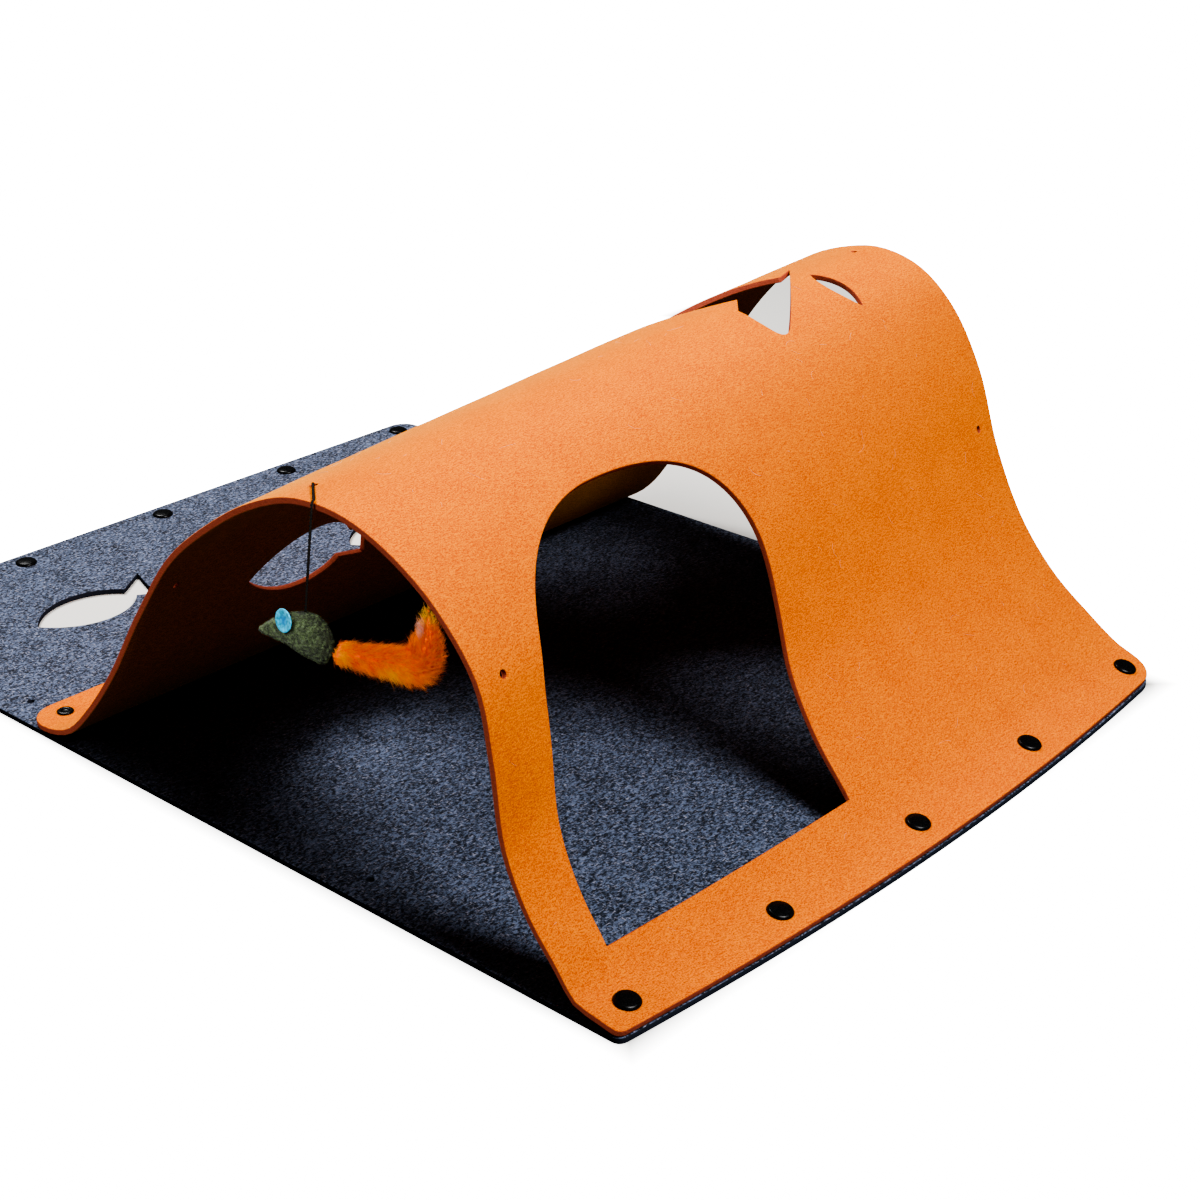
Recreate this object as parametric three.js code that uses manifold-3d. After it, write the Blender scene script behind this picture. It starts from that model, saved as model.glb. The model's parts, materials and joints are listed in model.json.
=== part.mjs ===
// Felt cat tunnel. A flat felt mat carries a second felt panel, bent into a bell-shaped arch
// and held down by snap fasteners, and a toy mouse hangs on a cord in the near mouth.
// X runs along the tunnel, Y across it from the door side to the rear, Z up. Millimetres.

import * as THREE from "three";
import { mergeVertices } from "three/addons/utils/BufferGeometryUtils.js";
import Module from "manifold-3d";

const wasm = await Module();
wasm.setup();

// Both felt panels
const panel_length = 650;
const panel_width = 860;
const felt_thickness = 4.5;
const corner_radius = 18;
const near_corner_radius = 7;
const far_corner_radius = 27;
const rear_corner_radius = 24;
const touch_gap = 0.3;

// Snap fasteners, in rows of five along the two long edges of a panel
const snap_count = 5;
const snap_pitch = 150;
const snap_inset = 18;
const front_snap_along = [-300, -160, -8, 142, 301];
const cap_brim = 0.9;
const cap_radius = 9.25;
const cap_height = 2.9;
const ring_radius = 6.5;
const ring_height = 1.4;
const post_radius = 2.4;
const sheet_post_length = 8.2;
const mat_post_length = 4.1;
const snap_hole_radius = 3.0;
const mat_hole_radius = 4.0;

// Toy holes, three along each short edge
const toy_hole_radius = 2.7;
const toy_hole_inset = 23;
const toy_hole_pitch = 190;

// The arch pushes the front edge out, most at mid-length, and less higher up the wall
const front_bow = 18;
const bow_height = 110;

// The crown stands a little above the straight line between the two mouths
const crown_rise = 1.8;
const crown_height = 250;

// Outer face of the sheet at each mouth, from its front edge to its rear edge
const near_mouth = [
  { across: 0, up: 9.4 },
  { across: 12, up: 11.2 },
  { across: 24, up: 13 },
  { across: 35, up: 15.2 },
  { across: 51.5, up: 34 },
  { across: 73, up: 59.5 },
  { across: 91.5, up: 96.5 },
  { across: 101, up: 154 },
  { across: 113, up: 202 },
  { across: 145.5, up: 239.5 },
  { across: 180, up: 262 },
  { across: 215, up: 275 },
  { across: 246, up: 278.5 },
  { across: 278, up: 275 },
  { across: 312.5, up: 261.5 },
  { across: 346.5, up: 241.5 },
  { across: 402.5, up: 196.5 },
  { across: 441, up: 145 },
  { across: 479, up: 86 },
  { across: 510, up: 46.8 },
  { across: 539, up: 19 },
  { across: 562, up: 10.4 },
  { across: 582, up: 9.3 },
  { across: 596, up: 9.3 },
];
const far_mouth = [
  { across: 0, up: 9.6 },
  { across: 12, up: 13.2 },
  { across: 24, up: 16.8 },
  { across: 36, up: 21.2 },
  { across: 65, up: 39.5 },
  { across: 98.5, up: 64 },
  { across: 133, up: 103 },
  { across: 162, up: 158 },
  { across: 184.5, up: 218.5 },
  { across: 213, up: 263.5 },
  { across: 247, up: 290 },
  { across: 285.5, up: 298.5 },
  { across: 320.5, up: 293 },
  { across: 354, up: 280 },
  { across: 387.5, up: 256.5 },
  { across: 419.5, up: 219.5 },
  { across: 450, up: 167 },
  { across: 478, up: 110 },
  { across: 503.5, up: 63 },
  { across: 529, up: 29 },
  { across: 550, up: 13 },
  { across: 568, up: 9.7 },
  { across: 582, up: 9.3 },
  { across: 596, up: 9.3 },
];

// Door in the front wall, drawn on the flat sheet: along the tunnel, and up from the front edge
const door = {
  sill: 55,
  sill_near: -284,
  sill_far: -38,
  near: -270,
  far: -16,
  spring: 204,
  top: 327,
  top_along: -145,
  near_shoulder: 0.55,
  far_shoulder: 0.8,
  far_crown: 0.62,
  far_waist: 140,
};

// Fish cut-outs on the flat panels, given by the nose
const mat_fish = { along: -220, across: 726, length: 122, height: 56 };
const mat_second_fish = { along: 70, across: 663, length: 122, height: 56 };
const sheet_fish = {
  along: -220,
  across: 661,
  length: 126,
  height: 68,
  tail_half: 0.4,
  low_belly: 0.62,
  low_slip: 0.1,
  low_waist: 0.28,
};
const fish_waist = 0.77;
const fish_fork = 0.92;
const fish_belly = 0.67;
const fish_waist_half = 0.15;
const fish_tail_half = 0.48;
const fish_shoulder = 0.2;
const fish_hip = 0.58;

// The large fish over the crown: points along the tunnel and across the flat sheet
const roof_fish = {
  near_waist: [145, 432],
  tail_corner: [121, 413],
  tail_side: [117, 394],
  tail_round: [114, 361],
  tail_foot: [134, 373],
  tail_tip: [242, 452],
  far_waist: [216, 442],
  far_belly: [185, 510],
  nose: [72, 592],
  near_belly: [50, 478],
};
const leaf = { along: 226, across: 394, length: 56, near_bulge: 22, far_bulge: 14, lean: 2 };

// Grid of the bent sheet
const grid_along = 12;
const grid_across = 106;
const grid_crown = 12;
const curve_samples = 1200;
const normal_step = 1.5;
const prism_reach = 60;

// Toy on its cord, which passes the rim towards the front and hangs with a slight lean
const cord_radius = 1.0;
const cord_clearance = 1.7;
const cord_sides = 8;
const cord_steps = 64;
const cord_rim_across = 406;
const cord_drop = 73.9;
const cord_rim_turn = 3.2;
const cord_lean = { along: -4.6, across: 4.1 };
const cord_shares = { leaves_hole: 0.14, straight: 0.55, before_rim: 0.95 };
const knot_radius = 4.2;
const knot_height = 5.0;
const mouse_turn = THREE.MathUtils.degToRad(-48.8);
const mouse_hang = new THREE.Vector3(0, 0, 0.86);
const ear_radius = 8.2;
const ear_thickness = 1.2;
const body_sides = 20;
const tail_sides = 14;
const ear_sides = 20;

// Sections of the mouse, from the nose back: along its length, up from the cord's end, radius
const mouse_body_sections = [
  { along: -30.3, up: -13.4, radius: 1.2 },
  { along: -28.0, up: -13.3, radius: 2.7 },
  { along: -23.6, up: -12.7, radius: 5.2 },
  { along: -16.9, up: -12.1, radius: 8.5 },
  { along: -10.6, up: -12.5, radius: 10.8 },
  { along: -3.9, up: -13.9, radius: 13.2 },
  { along: 2.2, up: -16.4, radius: 14.2 },
  { along: 6.8, up: -20.2, radius: 13.8 },
  { along: 10.4, up: -24.4, radius: 12.2 },
  { along: 13.2, up: -28.4, radius: 9.6 },
  { along: 15.2, up: -31.6, radius: 6.0 },
  { along: 16.2, up: -33.2, radius: 2.6 },
];
const mouse_tail_sections = [
  { along: 11.5, up: -25.2, radius: 6.0 },
  { along: 17.0, up: -26.6, radius: 7.6 },
  { along: 25.5, up: -29.5, radius: 9.0 },
  { along: 34.8, up: -32.4, radius: 10.0 },
  { along: 43.5, up: -34.0, radius: 10.6 },
  { along: 52.2, up: -35.2, radius: 11.4 },
  { along: 59.9, up: -36.8, radius: 12.6 },
  { along: 67.7, up: -38.4, radius: 13.4 },
  { along: 74.2, up: -35.4, radius: 13.4 },
  { along: 76.5, up: -24.3, radius: 11.0 },
  { along: 77.1, up: -14.1, radius: 8.3 },
  { along: 76.7, up: -5.4, radius: 5.8 },
  { along: 76.5, up: 1.4, radius: 3.5 },
  { along: 76.4, up: 5.3, radius: 1.5 },
];

// Ears: the left one stands up, the right one is folded down against the far cheek
const mouse_ears = [
  { name: "mouse_ear_left", place: [-13.2, -9.8, -2.2], facing: [-0.76, -0.65, 0.08] },
  { name: "mouse_ear_right", place: [-13.6, 10.4, -13.6], facing: [-0.22, 0.95, -0.05] },
];

const half_length = panel_length / 2;
const across_centre = (panel_width - front_bow) / 2;

const felt_orange = new THREE.MeshStandardMaterial({ color: 0xdc7a35, roughness: 0.95, metalness: 0 });
const felt_navy = new THREE.MeshStandardMaterial({ color: 0x4a5166, roughness: 0.95, metalness: 0 });
const snap_black = new THREE.MeshStandardMaterial({ color: 0x101214, roughness: 0.25, metalness: 0 });
const cord_black = new THREE.MeshStandardMaterial({ color: 0x1a1512, roughness: 0.8, metalness: 0 });
const plush_olive = new THREE.MeshStandardMaterial({ color: 0x56603e, roughness: 0.9, metalness: 0 });
const felt_cyan = new THREE.MeshStandardMaterial({ color: 0x5cc7e6, roughness: 0.9, metalness: 0 });
const fur_orange = new THREE.MeshStandardMaterial({ color: 0xe8690c, roughness: 0.9, metalness: 0 });

const root = new THREE.Group();

function addPiece(name, geometry, material, parent = root) {
  const mesh = new THREE.Mesh(geometry, material);
  mesh.name = name;
  parent.add(mesh);
  return mesh;
}

// A closed three.js geometry as a manifold solid, and back
function toSolid(geometry) {
  const bare = geometry.clone();
  bare.deleteAttribute("normal");
  bare.deleteAttribute("uv");
  const merged = mergeVertices(bare, 1e-4);
  const vertProperties = new Float32Array(merged.getAttribute("position").array);
  const triVerts = new Uint32Array(merged.index.array);
  return new wasm.Manifold(new wasm.Mesh({ numProp: 3, vertProperties, triVerts }));
}

function fromSolid(solid) {
  const mesh = solid.getMesh();
  const geometry = new THREE.BufferGeometry();
  geometry.setAttribute("position", new THREE.BufferAttribute(new Float32Array(mesh.vertProperties), 3));
  geometry.setIndex(new THREE.BufferAttribute(new Uint32Array(mesh.triVerts), 1));
  geometry.computeVertexNormals();
  return geometry;
}

// The arch as a surface: a point at a distance along the tunnel and across the flat sheet
function mouthCurve(rows) {
  const points = rows.map((row) => new THREE.Vector3(0, row.across, row.up));
  return new THREE.CatmullRomCurve3(points, false, "centripetal").getSpacedPoints(curve_samples);
}

const near_curve = mouthCurve(near_mouth);
const far_curve = mouthCurve(far_mouth);

function curvePoint(samples, share) {
  const place = THREE.MathUtils.clamp(share, 0, 1) * (samples.length - 1);
  const index = Math.min(Math.floor(place), samples.length - 2);
  return samples[index].clone().lerp(samples[index + 1], place - index);
}

// One at mid-length, falling to nothing at both mouths
function midShare(along) {
  return 1 - (along / half_length) ** 2;
}

function outerPoint(along, across) {
  const share = across / panel_width;
  const point = curvePoint(near_curve, share).lerp(curvePoint(far_curve, share), along / panel_length + 0.5);
  point.x = along;
  point.z += crown_rise * midShare(along) * Math.min(1, point.z / crown_height);
  point.y -= front_bow * midShare(along) * Math.max(0, 1 - point.y / bow_height) + across_centre;
  return point;
}

function outerNormal(along, across) {
  const before = outerPoint(along, Math.max(0, across - normal_step));
  const after = outerPoint(along, Math.min(panel_width, across + normal_step));
  const lengthwise = outerPoint(along + normal_step, across).sub(outerPoint(along - normal_step, across));
  return lengthwise.cross(after.sub(before)).normalize();
}

function archPoint(along, across, height) {
  return outerPoint(along, across).addScaledVector(outerNormal(along, across), height);
}

// Outlines on the flat panels
function roundedPanel(bow, rear_radius) {
  const dip = (along) => -bow * midShare(along);
  const near = near_corner_radius - half_length;
  const far = half_length - far_corner_radius;
  const slope = (2 * bow * near) / half_length ** 2;
  const side = half_length - rear_radius;
  const rear = panel_width - rear_radius;
  const outline = new THREE.Shape();
  outline.moveTo(near, dip(near));
  outline.quadraticCurveTo((near + far) / 2, dip(near) + (slope * (far - near)) / 2, far, dip(far));
  outline.quadraticCurveTo(half_length, 0, half_length, far_corner_radius);
  outline.lineTo(half_length, rear);
  outline.absarc(side, rear, rear_radius, 0, Math.PI / 2);
  outline.lineTo(-side, panel_width);
  outline.absarc(-side, rear, rear_radius, Math.PI / 2, Math.PI);
  outline.lineTo(-half_length, near_corner_radius);
  outline.quadraticCurveTo(-half_length, 0, near, dip(near));
  return outline;
}

function circleOutline(along, across, radius) {
  return new THREE.Shape().absarc(along, across, radius, 0, 2 * Math.PI);
}

function doorOutline() {
  const outline = new THREE.Shape();
  const rise = door.top - door.spring;
  outline.moveTo(door.sill_near, door.sill);
  outline.lineTo(door.sill_far, door.sill);
  outline.quadraticCurveTo(door.far, door.far_waist, door.far, door.spring);
  outline.bezierCurveTo(
    door.far, door.spring + door.far_shoulder * rise,
    THREE.MathUtils.lerp(door.top_along, door.far, door.far_crown), door.top,
    door.top_along, door.top,
  );
  outline.bezierCurveTo(
    THREE.MathUtils.lerp(door.top_along, door.near, door.near_shoulder), door.top,
    door.near, door.spring + door.near_shoulder * rise,
    door.near, door.spring,
  );
  outline.lineTo(door.sill_near, door.sill);
  return outline;
}

// A fish with its nose towards the near mouth: a lens for the body and a forked tail. The fish
// in the wall has a lower side of its own, flatter at the nose and fuller at the tail
function fishOutline(fish) {
  const { along, across, length, height } = fish;
  const place = (share, half) => [along + share * length, across + half * height];
  const tail_half = fish.tail_half ?? fish_tail_half;
  const low_belly = fish.low_belly ?? fish_belly;
  const low_slip = fish.low_slip ?? 0;
  const outline = new THREE.Shape();
  outline.moveTo(along, across);
  outline.bezierCurveTo(
    ...place(fish_shoulder, -fish_belly),
    ...place(fish_hip, -fish_belly),
    ...place(fish_waist, -fish_waist_half),
  );
  outline.lineTo(...place(1, -tail_half));
  outline.lineTo(...place(fish_fork, 0));
  outline.lineTo(...place(1, tail_half));
  outline.lineTo(...place(fish_waist, fish.low_waist ?? fish_waist_half));
  outline.bezierCurveTo(
    ...place(fish_hip + low_slip, low_belly),
    ...place(fish_shoulder + low_slip, low_belly),
    along, across,
  );
  return outline;
}

function roofFishOutline() {
  const outline = new THREE.Shape();
  outline.moveTo(...roof_fish.near_waist);
  outline.lineTo(...roof_fish.tail_corner);
  outline.lineTo(...roof_fish.tail_side);
  outline.quadraticCurveTo(...roof_fish.tail_round, ...roof_fish.tail_foot);
  outline.lineTo(...roof_fish.tail_tip);
  outline.lineTo(...roof_fish.far_waist);
  outline.quadraticCurveTo(...roof_fish.far_belly, ...roof_fish.nose);
  outline.quadraticCurveTo(...roof_fish.near_belly, ...roof_fish.near_waist);
  return outline;
}

function leafOutline() {
  const outline = new THREE.Shape();
  const low = [leaf.along - leaf.lean, leaf.across - leaf.length / 2];
  const high = [leaf.along + leaf.lean, leaf.across + leaf.length / 2];
  outline.moveTo(...low);
  outline.quadraticCurveTo(leaf.along + leaf.far_bulge, leaf.across, ...high);
  outline.quadraticCurveTo(leaf.along - leaf.near_bulge, leaf.across, ...low);
  return outline;
}

function toyHoles() {
  const holes = [];
  for (const end of [-1, 1]) {
    for (const step of [-1, 0, 1]) {
      const across = panel_width / 2 + step * toy_hole_pitch;
      holes.push(circleOutline(end * (half_length - toy_hole_inset), across, toy_hole_radius));
    }
  }
  return holes;
}

const even_places = Array.from({ length: snap_count }, (_, index) => {
  return (index - (snap_count - 1) / 2) * snap_pitch;
});
const rear_row = panel_width - snap_inset;

// The base mat, flat, with the rows of holes that the front and rear snaps go into
function baseMat() {
  const outline = roundedPanel(front_bow, corner_radius);
  outline.holes.push(...toyHoles(), fishOutline(mat_fish), fishOutline(mat_second_fish));
  for (const along of front_snap_along) {
    const front = outerPoint(along, snap_inset).y + across_centre;
    outline.holes.push(circleOutline(along, front, mat_hole_radius));
  }
  const seam = outerPoint(0, rear_row).y + across_centre;
  for (const along of even_places) {
    outline.holes.push(circleOutline(along, seam, mat_hole_radius));
    outline.holes.push(circleOutline(along, rear_row, snap_hole_radius));
  }
  const geometry = new THREE.ExtrudeGeometry(outline, {
    depth: felt_thickness,
    bevelEnabled: false,
    curveSegments: 10,
  });
  return geometry.translate(0, -across_centre, 0);
}

// A slab on a grid with a slight crown, so that cutting it keeps the grid for the bend
function crownHeight(along, across) {
  const along_share = along / half_length;
  const across_share = across / panel_width - 0.5;
  return -grid_crown * (along_share ** 2 + across_share ** 2);
}

function gridSlab() {
  const positions = [];
  const index = [];
  const row = grid_along + 1;
  const layer = row * (grid_across + 1);
  for (const height of [0, -felt_thickness]) {
    for (let j = 0; j <= grid_across; j += 1) {
      for (let i = 0; i <= grid_along; i += 1) {
        const along = (i / grid_along - 0.5) * panel_length;
        const across = (j / grid_across) * panel_width;
        positions.push(along, across, height + crownHeight(along, across));
      }
    }
  }
  const quad = (a, b, c, d) => index.push(a, b, c, a, c, d);
  for (let j = 0; j < grid_across; j += 1) {
    for (let i = 0; i < grid_along; i += 1) {
      const a = j * row + i;
      quad(a, a + 1, a + row + 1, a + row);
      quad(layer + a, layer + a + row, layer + a + row + 1, layer + a + 1);
    }
  }
  for (let i = 0; i < grid_along; i += 1) {
    const rear = grid_across * row + i;
    quad(layer + i, layer + i + 1, i + 1, i);
    quad(rear, rear + 1, layer + rear + 1, layer + rear);
  }
  for (let j = 0; j < grid_across; j += 1) {
    const near = j * row;
    const far = near + grid_along;
    quad(near, near + row, layer + near + row, layer + near);
    quad(layer + far, layer + far + row, far + row, far);
  }
  const geometry = new THREE.BufferGeometry();
  geometry.setAttribute("position", new THREE.Float32BufferAttribute(positions, 3));
  geometry.setIndex(index);
  return geometry;
}

function prism(outline, segments = 12) {
  const geometry = new THREE.ExtrudeGeometry(outline, {
    depth: 2 * prism_reach,
    bevelEnabled: false,
    curveSegments: segments,
  });
  return toSolid(geometry.translate(0, 0, -prism_reach));
}

// The tunnel sheet: cut flat, then every point is carried onto the arch
function tunnelSheet() {
  let sheet = toSolid(gridSlab()).intersect(prism(roundedPanel(0, rear_corner_radius)));
  const holes = [doorOutline(), fishOutline(sheet_fish), roofFishOutline(), leafOutline()];
  for (const outline of holes) {
    sheet = sheet.subtract(prism(outline, 14));
  }
  for (const outline of toyHoles()) {
    sheet = sheet.subtract(prism(outline, 5));
  }
  for (const along of front_snap_along) {
    sheet = sheet.subtract(prism(circleOutline(along, snap_inset, snap_hole_radius), 5));
  }
  for (const along of even_places) {
    sheet = sheet.subtract(prism(circleOutline(along, rear_row, snap_hole_radius), 5));
  }
  const geometry = fromSolid(sheet);
  const position = geometry.getAttribute("position");
  for (let k = 0; k < position.count; k += 1) {
    const along = position.getX(k);
    const across = position.getY(k);
    const height = position.getZ(k) - crownHeight(along, across);
    const point = archPoint(along, across, height);
    position.setXYZ(k, point.x, point.y, point.z);
  }
  geometry.computeVertexNormals();
  return geometry;
}

// Snap fasteners, turned about Y with the seat at zero height
function snapGeometry(post_length, head) {
  const profile = [
    [0, -post_length],
    [post_radius, -post_length],
    [post_radius, touch_gap],
    ...head,
  ];
  const points = profile.map(([radius, height]) => new THREE.Vector2(radius, height));
  return new THREE.LatheGeometry(points, 16).rotateX(Math.PI / 2);
}

function capGeometry(post_length) {
  return snapGeometry(post_length, [
    [cap_radius, touch_gap],
    [cap_radius, touch_gap + cap_brim],
    [0.9 * cap_radius, touch_gap + 0.65 * cap_height],
    [0.55 * cap_radius, touch_gap + 0.93 * cap_height],
    [0, touch_gap + cap_height],
  ]);
}

function ringGeometry() {
  return snapGeometry(sheet_post_length, [
    [ring_radius, touch_gap],
    [ring_radius, touch_gap + cap_brim],
    [0.85 * ring_radius, touch_gap + ring_height],
    [0.5 * ring_radius, touch_gap + ring_height],
    [0.4 * ring_radius, touch_gap + 0.4 * ring_height],
    [0, touch_gap + 0.4 * ring_height],
  ]);
}

function placeOnSheet(mesh, along, across) {
  mesh.position.copy(outerPoint(along, across));
  mesh.quaternion.setFromUnitVectors(new THREE.Vector3(0, 0, 1), outerNormal(along, across));
}

function addSnaps() {
  for (let index = 0; index < snap_count; index += 1) {
    const front = addPiece(`front_snap_${index + 1}`, capGeometry(sheet_post_length), snap_black);
    placeOnSheet(front, front_snap_along[index], snap_inset);
    const rear = addPiece(`rear_snap_${index + 1}`, ringGeometry(), snap_black);
    placeOnSheet(rear, even_places[index], rear_row);
    const free = addPiece(`mat_snap_${index + 1}`, capGeometry(mat_post_length), snap_black);
    free.position.set(even_places[index], rear_row - across_centre, felt_thickness);
  }
}

// Toy cord: up through the middle toy hole, over the near rim and down to the toy
const cord_hole = { along: toy_hole_inset - half_length, across: panel_width / 2 };

function aboveSheet(share) {
  const along = THREE.MathUtils.lerp(cord_hole.along, -half_length, share);
  const across = THREE.MathUtils.lerp(cord_hole.across, cord_rim_across, share);
  return archPoint(along, across, cord_clearance);
}

function cordPath() {
  const path = new THREE.CurvePath();
  const line = (from, to) => path.add(new THREE.LineCurve3(from, to));
  const bend = (from, corner, to) => path.add(new THREE.QuadraticBezierCurve3(from, corner, to));
  const below_hole = archPoint(cord_hole.along, cord_hole.across, -felt_thickness);
  const in_hole = archPoint(cord_hole.along, cord_hole.across, -cord_radius);
  const leaves_hole = aboveSheet(cord_shares.leaves_hole);
  const straight = aboveSheet(cord_shares.straight);
  const before_rim = aboveSheet(cord_shares.before_rim);
  const corner = aboveSheet(1).add(new THREE.Vector3(-cord_clearance, 0, 0));
  const hang = new THREE.Vector3(cord_lean.along, cord_lean.across, -cord_drop);
  const after_rim = corner.clone().addScaledVector(hang, cord_rim_turn / cord_drop);
  const end = corner.clone().add(hang);
  line(below_hole, in_hole);
  bend(in_hole, aboveSheet(0), leaves_hole);
  line(leaves_hole, straight);
  line(straight, before_rim);
  bend(before_rim, corner, after_rim);
  line(after_rim, end);
  return { path, end };
}

function addCord() {
  const { path, end } = cordPath();
  const section = new THREE.Shape();
  for (let k = 0; k < cord_sides; k += 1) {
    const angle = (2 * Math.PI * k) / cord_sides;
    const point = [cord_radius * Math.cos(angle), cord_radius * Math.sin(angle)];
    if (k === 0) section.moveTo(...point);
    else section.lineTo(...point);
  }
  const options = { steps: cord_steps, bevelEnabled: false, extrudePath: path };
  addPiece("toy_cord", new THREE.ExtrudeGeometry(section, options), cord_black);
  return end;
}

// The knot that keeps the cord from slipping back through its hole
function addKnot() {
  const profile = [
    [0, -knot_height],
    [0.6 * knot_radius, -0.92 * knot_height],
    [knot_radius, -0.5 * knot_height],
    [0.6 * knot_radius, 0],
    [0, 0],
  ];
  const points = profile.map(([radius, height]) => new THREE.Vector2(radius, height));
  const geometry = new THREE.LatheGeometry(points, 12).rotateX(Math.PI / 2);
  const knot = addPiece("cord_knot", geometry, cord_black);
  const normal = outerNormal(cord_hole.along, cord_hole.across);
  knot.position.copy(archPoint(cord_hole.along, cord_hole.across, -felt_thickness - touch_gap));
  knot.quaternion.setFromUnitVectors(new THREE.Vector3(0, 0, 1), normal);
}

// A soft tapered solid through round sections, closed at both ends
function taperedSolid(sections, sides) {
  const centres = sections.map((row) => new THREE.Vector3(row.along, 0, row.up));
  const positions = [];
  const index = [];
  sections.forEach((row, k) => {
    const before = centres[Math.max(0, k - 1)];
    const after = centres[Math.min(centres.length - 1, k + 1)];
    const forward = after.clone().sub(before).normalize();
    const up = new THREE.Vector3(-forward.z, 0, forward.x);
    for (let side = 0; side < sides; side += 1) {
      const angle = (2 * Math.PI * side) / sides;
      const point = centres[k].clone().addScaledVector(up, row.radius * Math.sin(angle));
      positions.push(point.x, row.radius * Math.cos(angle), point.z);
    }
  });
  const last = sections.length - 1;
  for (let k = 0; k < last; k += 1) {
    for (let side = 0; side < sides; side += 1) {
      const next = (side + 1) % sides;
      const [a, b] = [k * sides + side, k * sides + next];
      index.push(a, b, b + sides, a, b + sides, a + sides);
    }
  }
  for (let side = 1; side < sides - 1; side += 1) {
    index.push(0, side + 1, side);
    index.push(last * sides, last * sides + side, last * sides + side + 1);
  }
  const geometry = new THREE.BufferGeometry();
  geometry.setAttribute("position", new THREE.Float32BufferAttribute(positions, 3));
  geometry.setIndex(index);
  geometry.computeVertexNormals();
  return geometry;
}

// The mouse; its tail and ears are cut back where they meet the body
function addMouse(cord_end) {
  const mouse = new THREE.Group();
  mouse.rotation.z = mouse_turn;
  mouse.position.copy(mouse_hang).applyEuler(mouse.rotation).add(cord_end);
  root.add(mouse);
  const grown = mouse_body_sections.map((row) => ({ ...row, radius: row.radius + touch_gap }));
  const [front, back] = [grown[0], grown[grown.length - 1]];
  front.along -= touch_gap;
  back.along += touch_gap;
  back.up -= touch_gap;
  const seat = toSolid(taperedSolid(grown, body_sides));
  addPiece("mouse_body", taperedSolid(mouse_body_sections, body_sides), plush_olive, mouse);
  const tail = toSolid(taperedSolid(mouse_tail_sections, tail_sides)).subtract(seat);
  addPiece("mouse_tail", fromSolid(tail), fur_orange, mouse);
  for (const { name, place, facing } of mouse_ears) {
    const disc = new THREE.CylinderGeometry(ear_radius, ear_radius, ear_thickness, ear_sides);
    const turn = new THREE.Quaternion().setFromUnitVectors(
      new THREE.Vector3(0, 1, 0),
      new THREE.Vector3(...facing).normalize(),
    );
    disc.applyQuaternion(turn).translate(...place);
    addPiece(name, fromSolid(toSolid(disc).subtract(seat)), felt_cyan, mouse);
  }
}

addPiece("base_mat", baseMat(), felt_navy);
addPiece("tunnel_sheet", tunnelSheet(), felt_orange);
addSnaps();
addKnot();
addMouse(addCord());

export default root;
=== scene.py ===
"""Felt cat tunnel: a flat felt mat, a felt panel snapped onto it as an arch, and a toy mouse.

The tables are in millimetres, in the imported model's frame: X along the tunnel from the toy's
mouth to the far one, Y across it from the door side to the rear, Z up from the floor.
"""
import json
import math

import bmesh
import bpy
import numpy as np
from bpy.props import FloatProperty, FloatVectorProperty, IntProperty, PointerProperty
from mathutils import Matrix, Vector

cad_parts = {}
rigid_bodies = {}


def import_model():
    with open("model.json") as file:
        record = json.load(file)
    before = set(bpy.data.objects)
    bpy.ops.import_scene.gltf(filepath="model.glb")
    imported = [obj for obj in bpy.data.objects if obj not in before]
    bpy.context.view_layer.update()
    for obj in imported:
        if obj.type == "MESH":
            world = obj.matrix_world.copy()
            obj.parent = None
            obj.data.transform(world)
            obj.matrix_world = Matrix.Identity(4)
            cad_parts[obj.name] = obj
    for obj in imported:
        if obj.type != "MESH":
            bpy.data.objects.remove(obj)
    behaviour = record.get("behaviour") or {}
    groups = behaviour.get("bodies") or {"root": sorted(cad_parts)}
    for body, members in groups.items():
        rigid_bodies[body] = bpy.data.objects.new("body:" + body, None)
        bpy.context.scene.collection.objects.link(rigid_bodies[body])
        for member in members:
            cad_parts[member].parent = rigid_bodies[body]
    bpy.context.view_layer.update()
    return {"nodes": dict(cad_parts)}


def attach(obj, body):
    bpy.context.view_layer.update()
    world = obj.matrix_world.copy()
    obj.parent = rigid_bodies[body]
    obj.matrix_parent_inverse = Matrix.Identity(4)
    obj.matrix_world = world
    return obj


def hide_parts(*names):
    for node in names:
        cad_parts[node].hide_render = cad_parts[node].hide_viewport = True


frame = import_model()

bl_info = {
    "name": "Felt cat tunnel",
    "version": (1, 0, 0),
    "blender": (4, 5, 0),
    "location": "3D View > Sidebar > Felt tunnel",
    "description": "Builds a felt cat tunnel on its mat, with snap fasteners and a toy mouse",
    "category": "Object",
}

MM = 0.001

# Both felt panels
PANEL_LENGTH = 650
PANEL_WIDTH = 860
HALF_LENGTH = PANEL_LENGTH / 2
FELT_THICKNESS = 4.5
NEAR_CORNER = 7
FAR_CORNER = 27
MAT_REAR_CORNER = 18
SHEET_REAR_CORNER = 24
FRONT_BOW = 18
BOW_HEIGHT = 110
CROWN_RISE = 1.8
CROWN_HEIGHT = 250
ACROSS_CENTRE = (PANEL_WIDTH - FRONT_BOW) / 2
CELL = 9.0
# The feet of the sheet lie plain, and its ripple sets in past them
FOOT_REACH, FOOT_FADE = 60, 80

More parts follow.
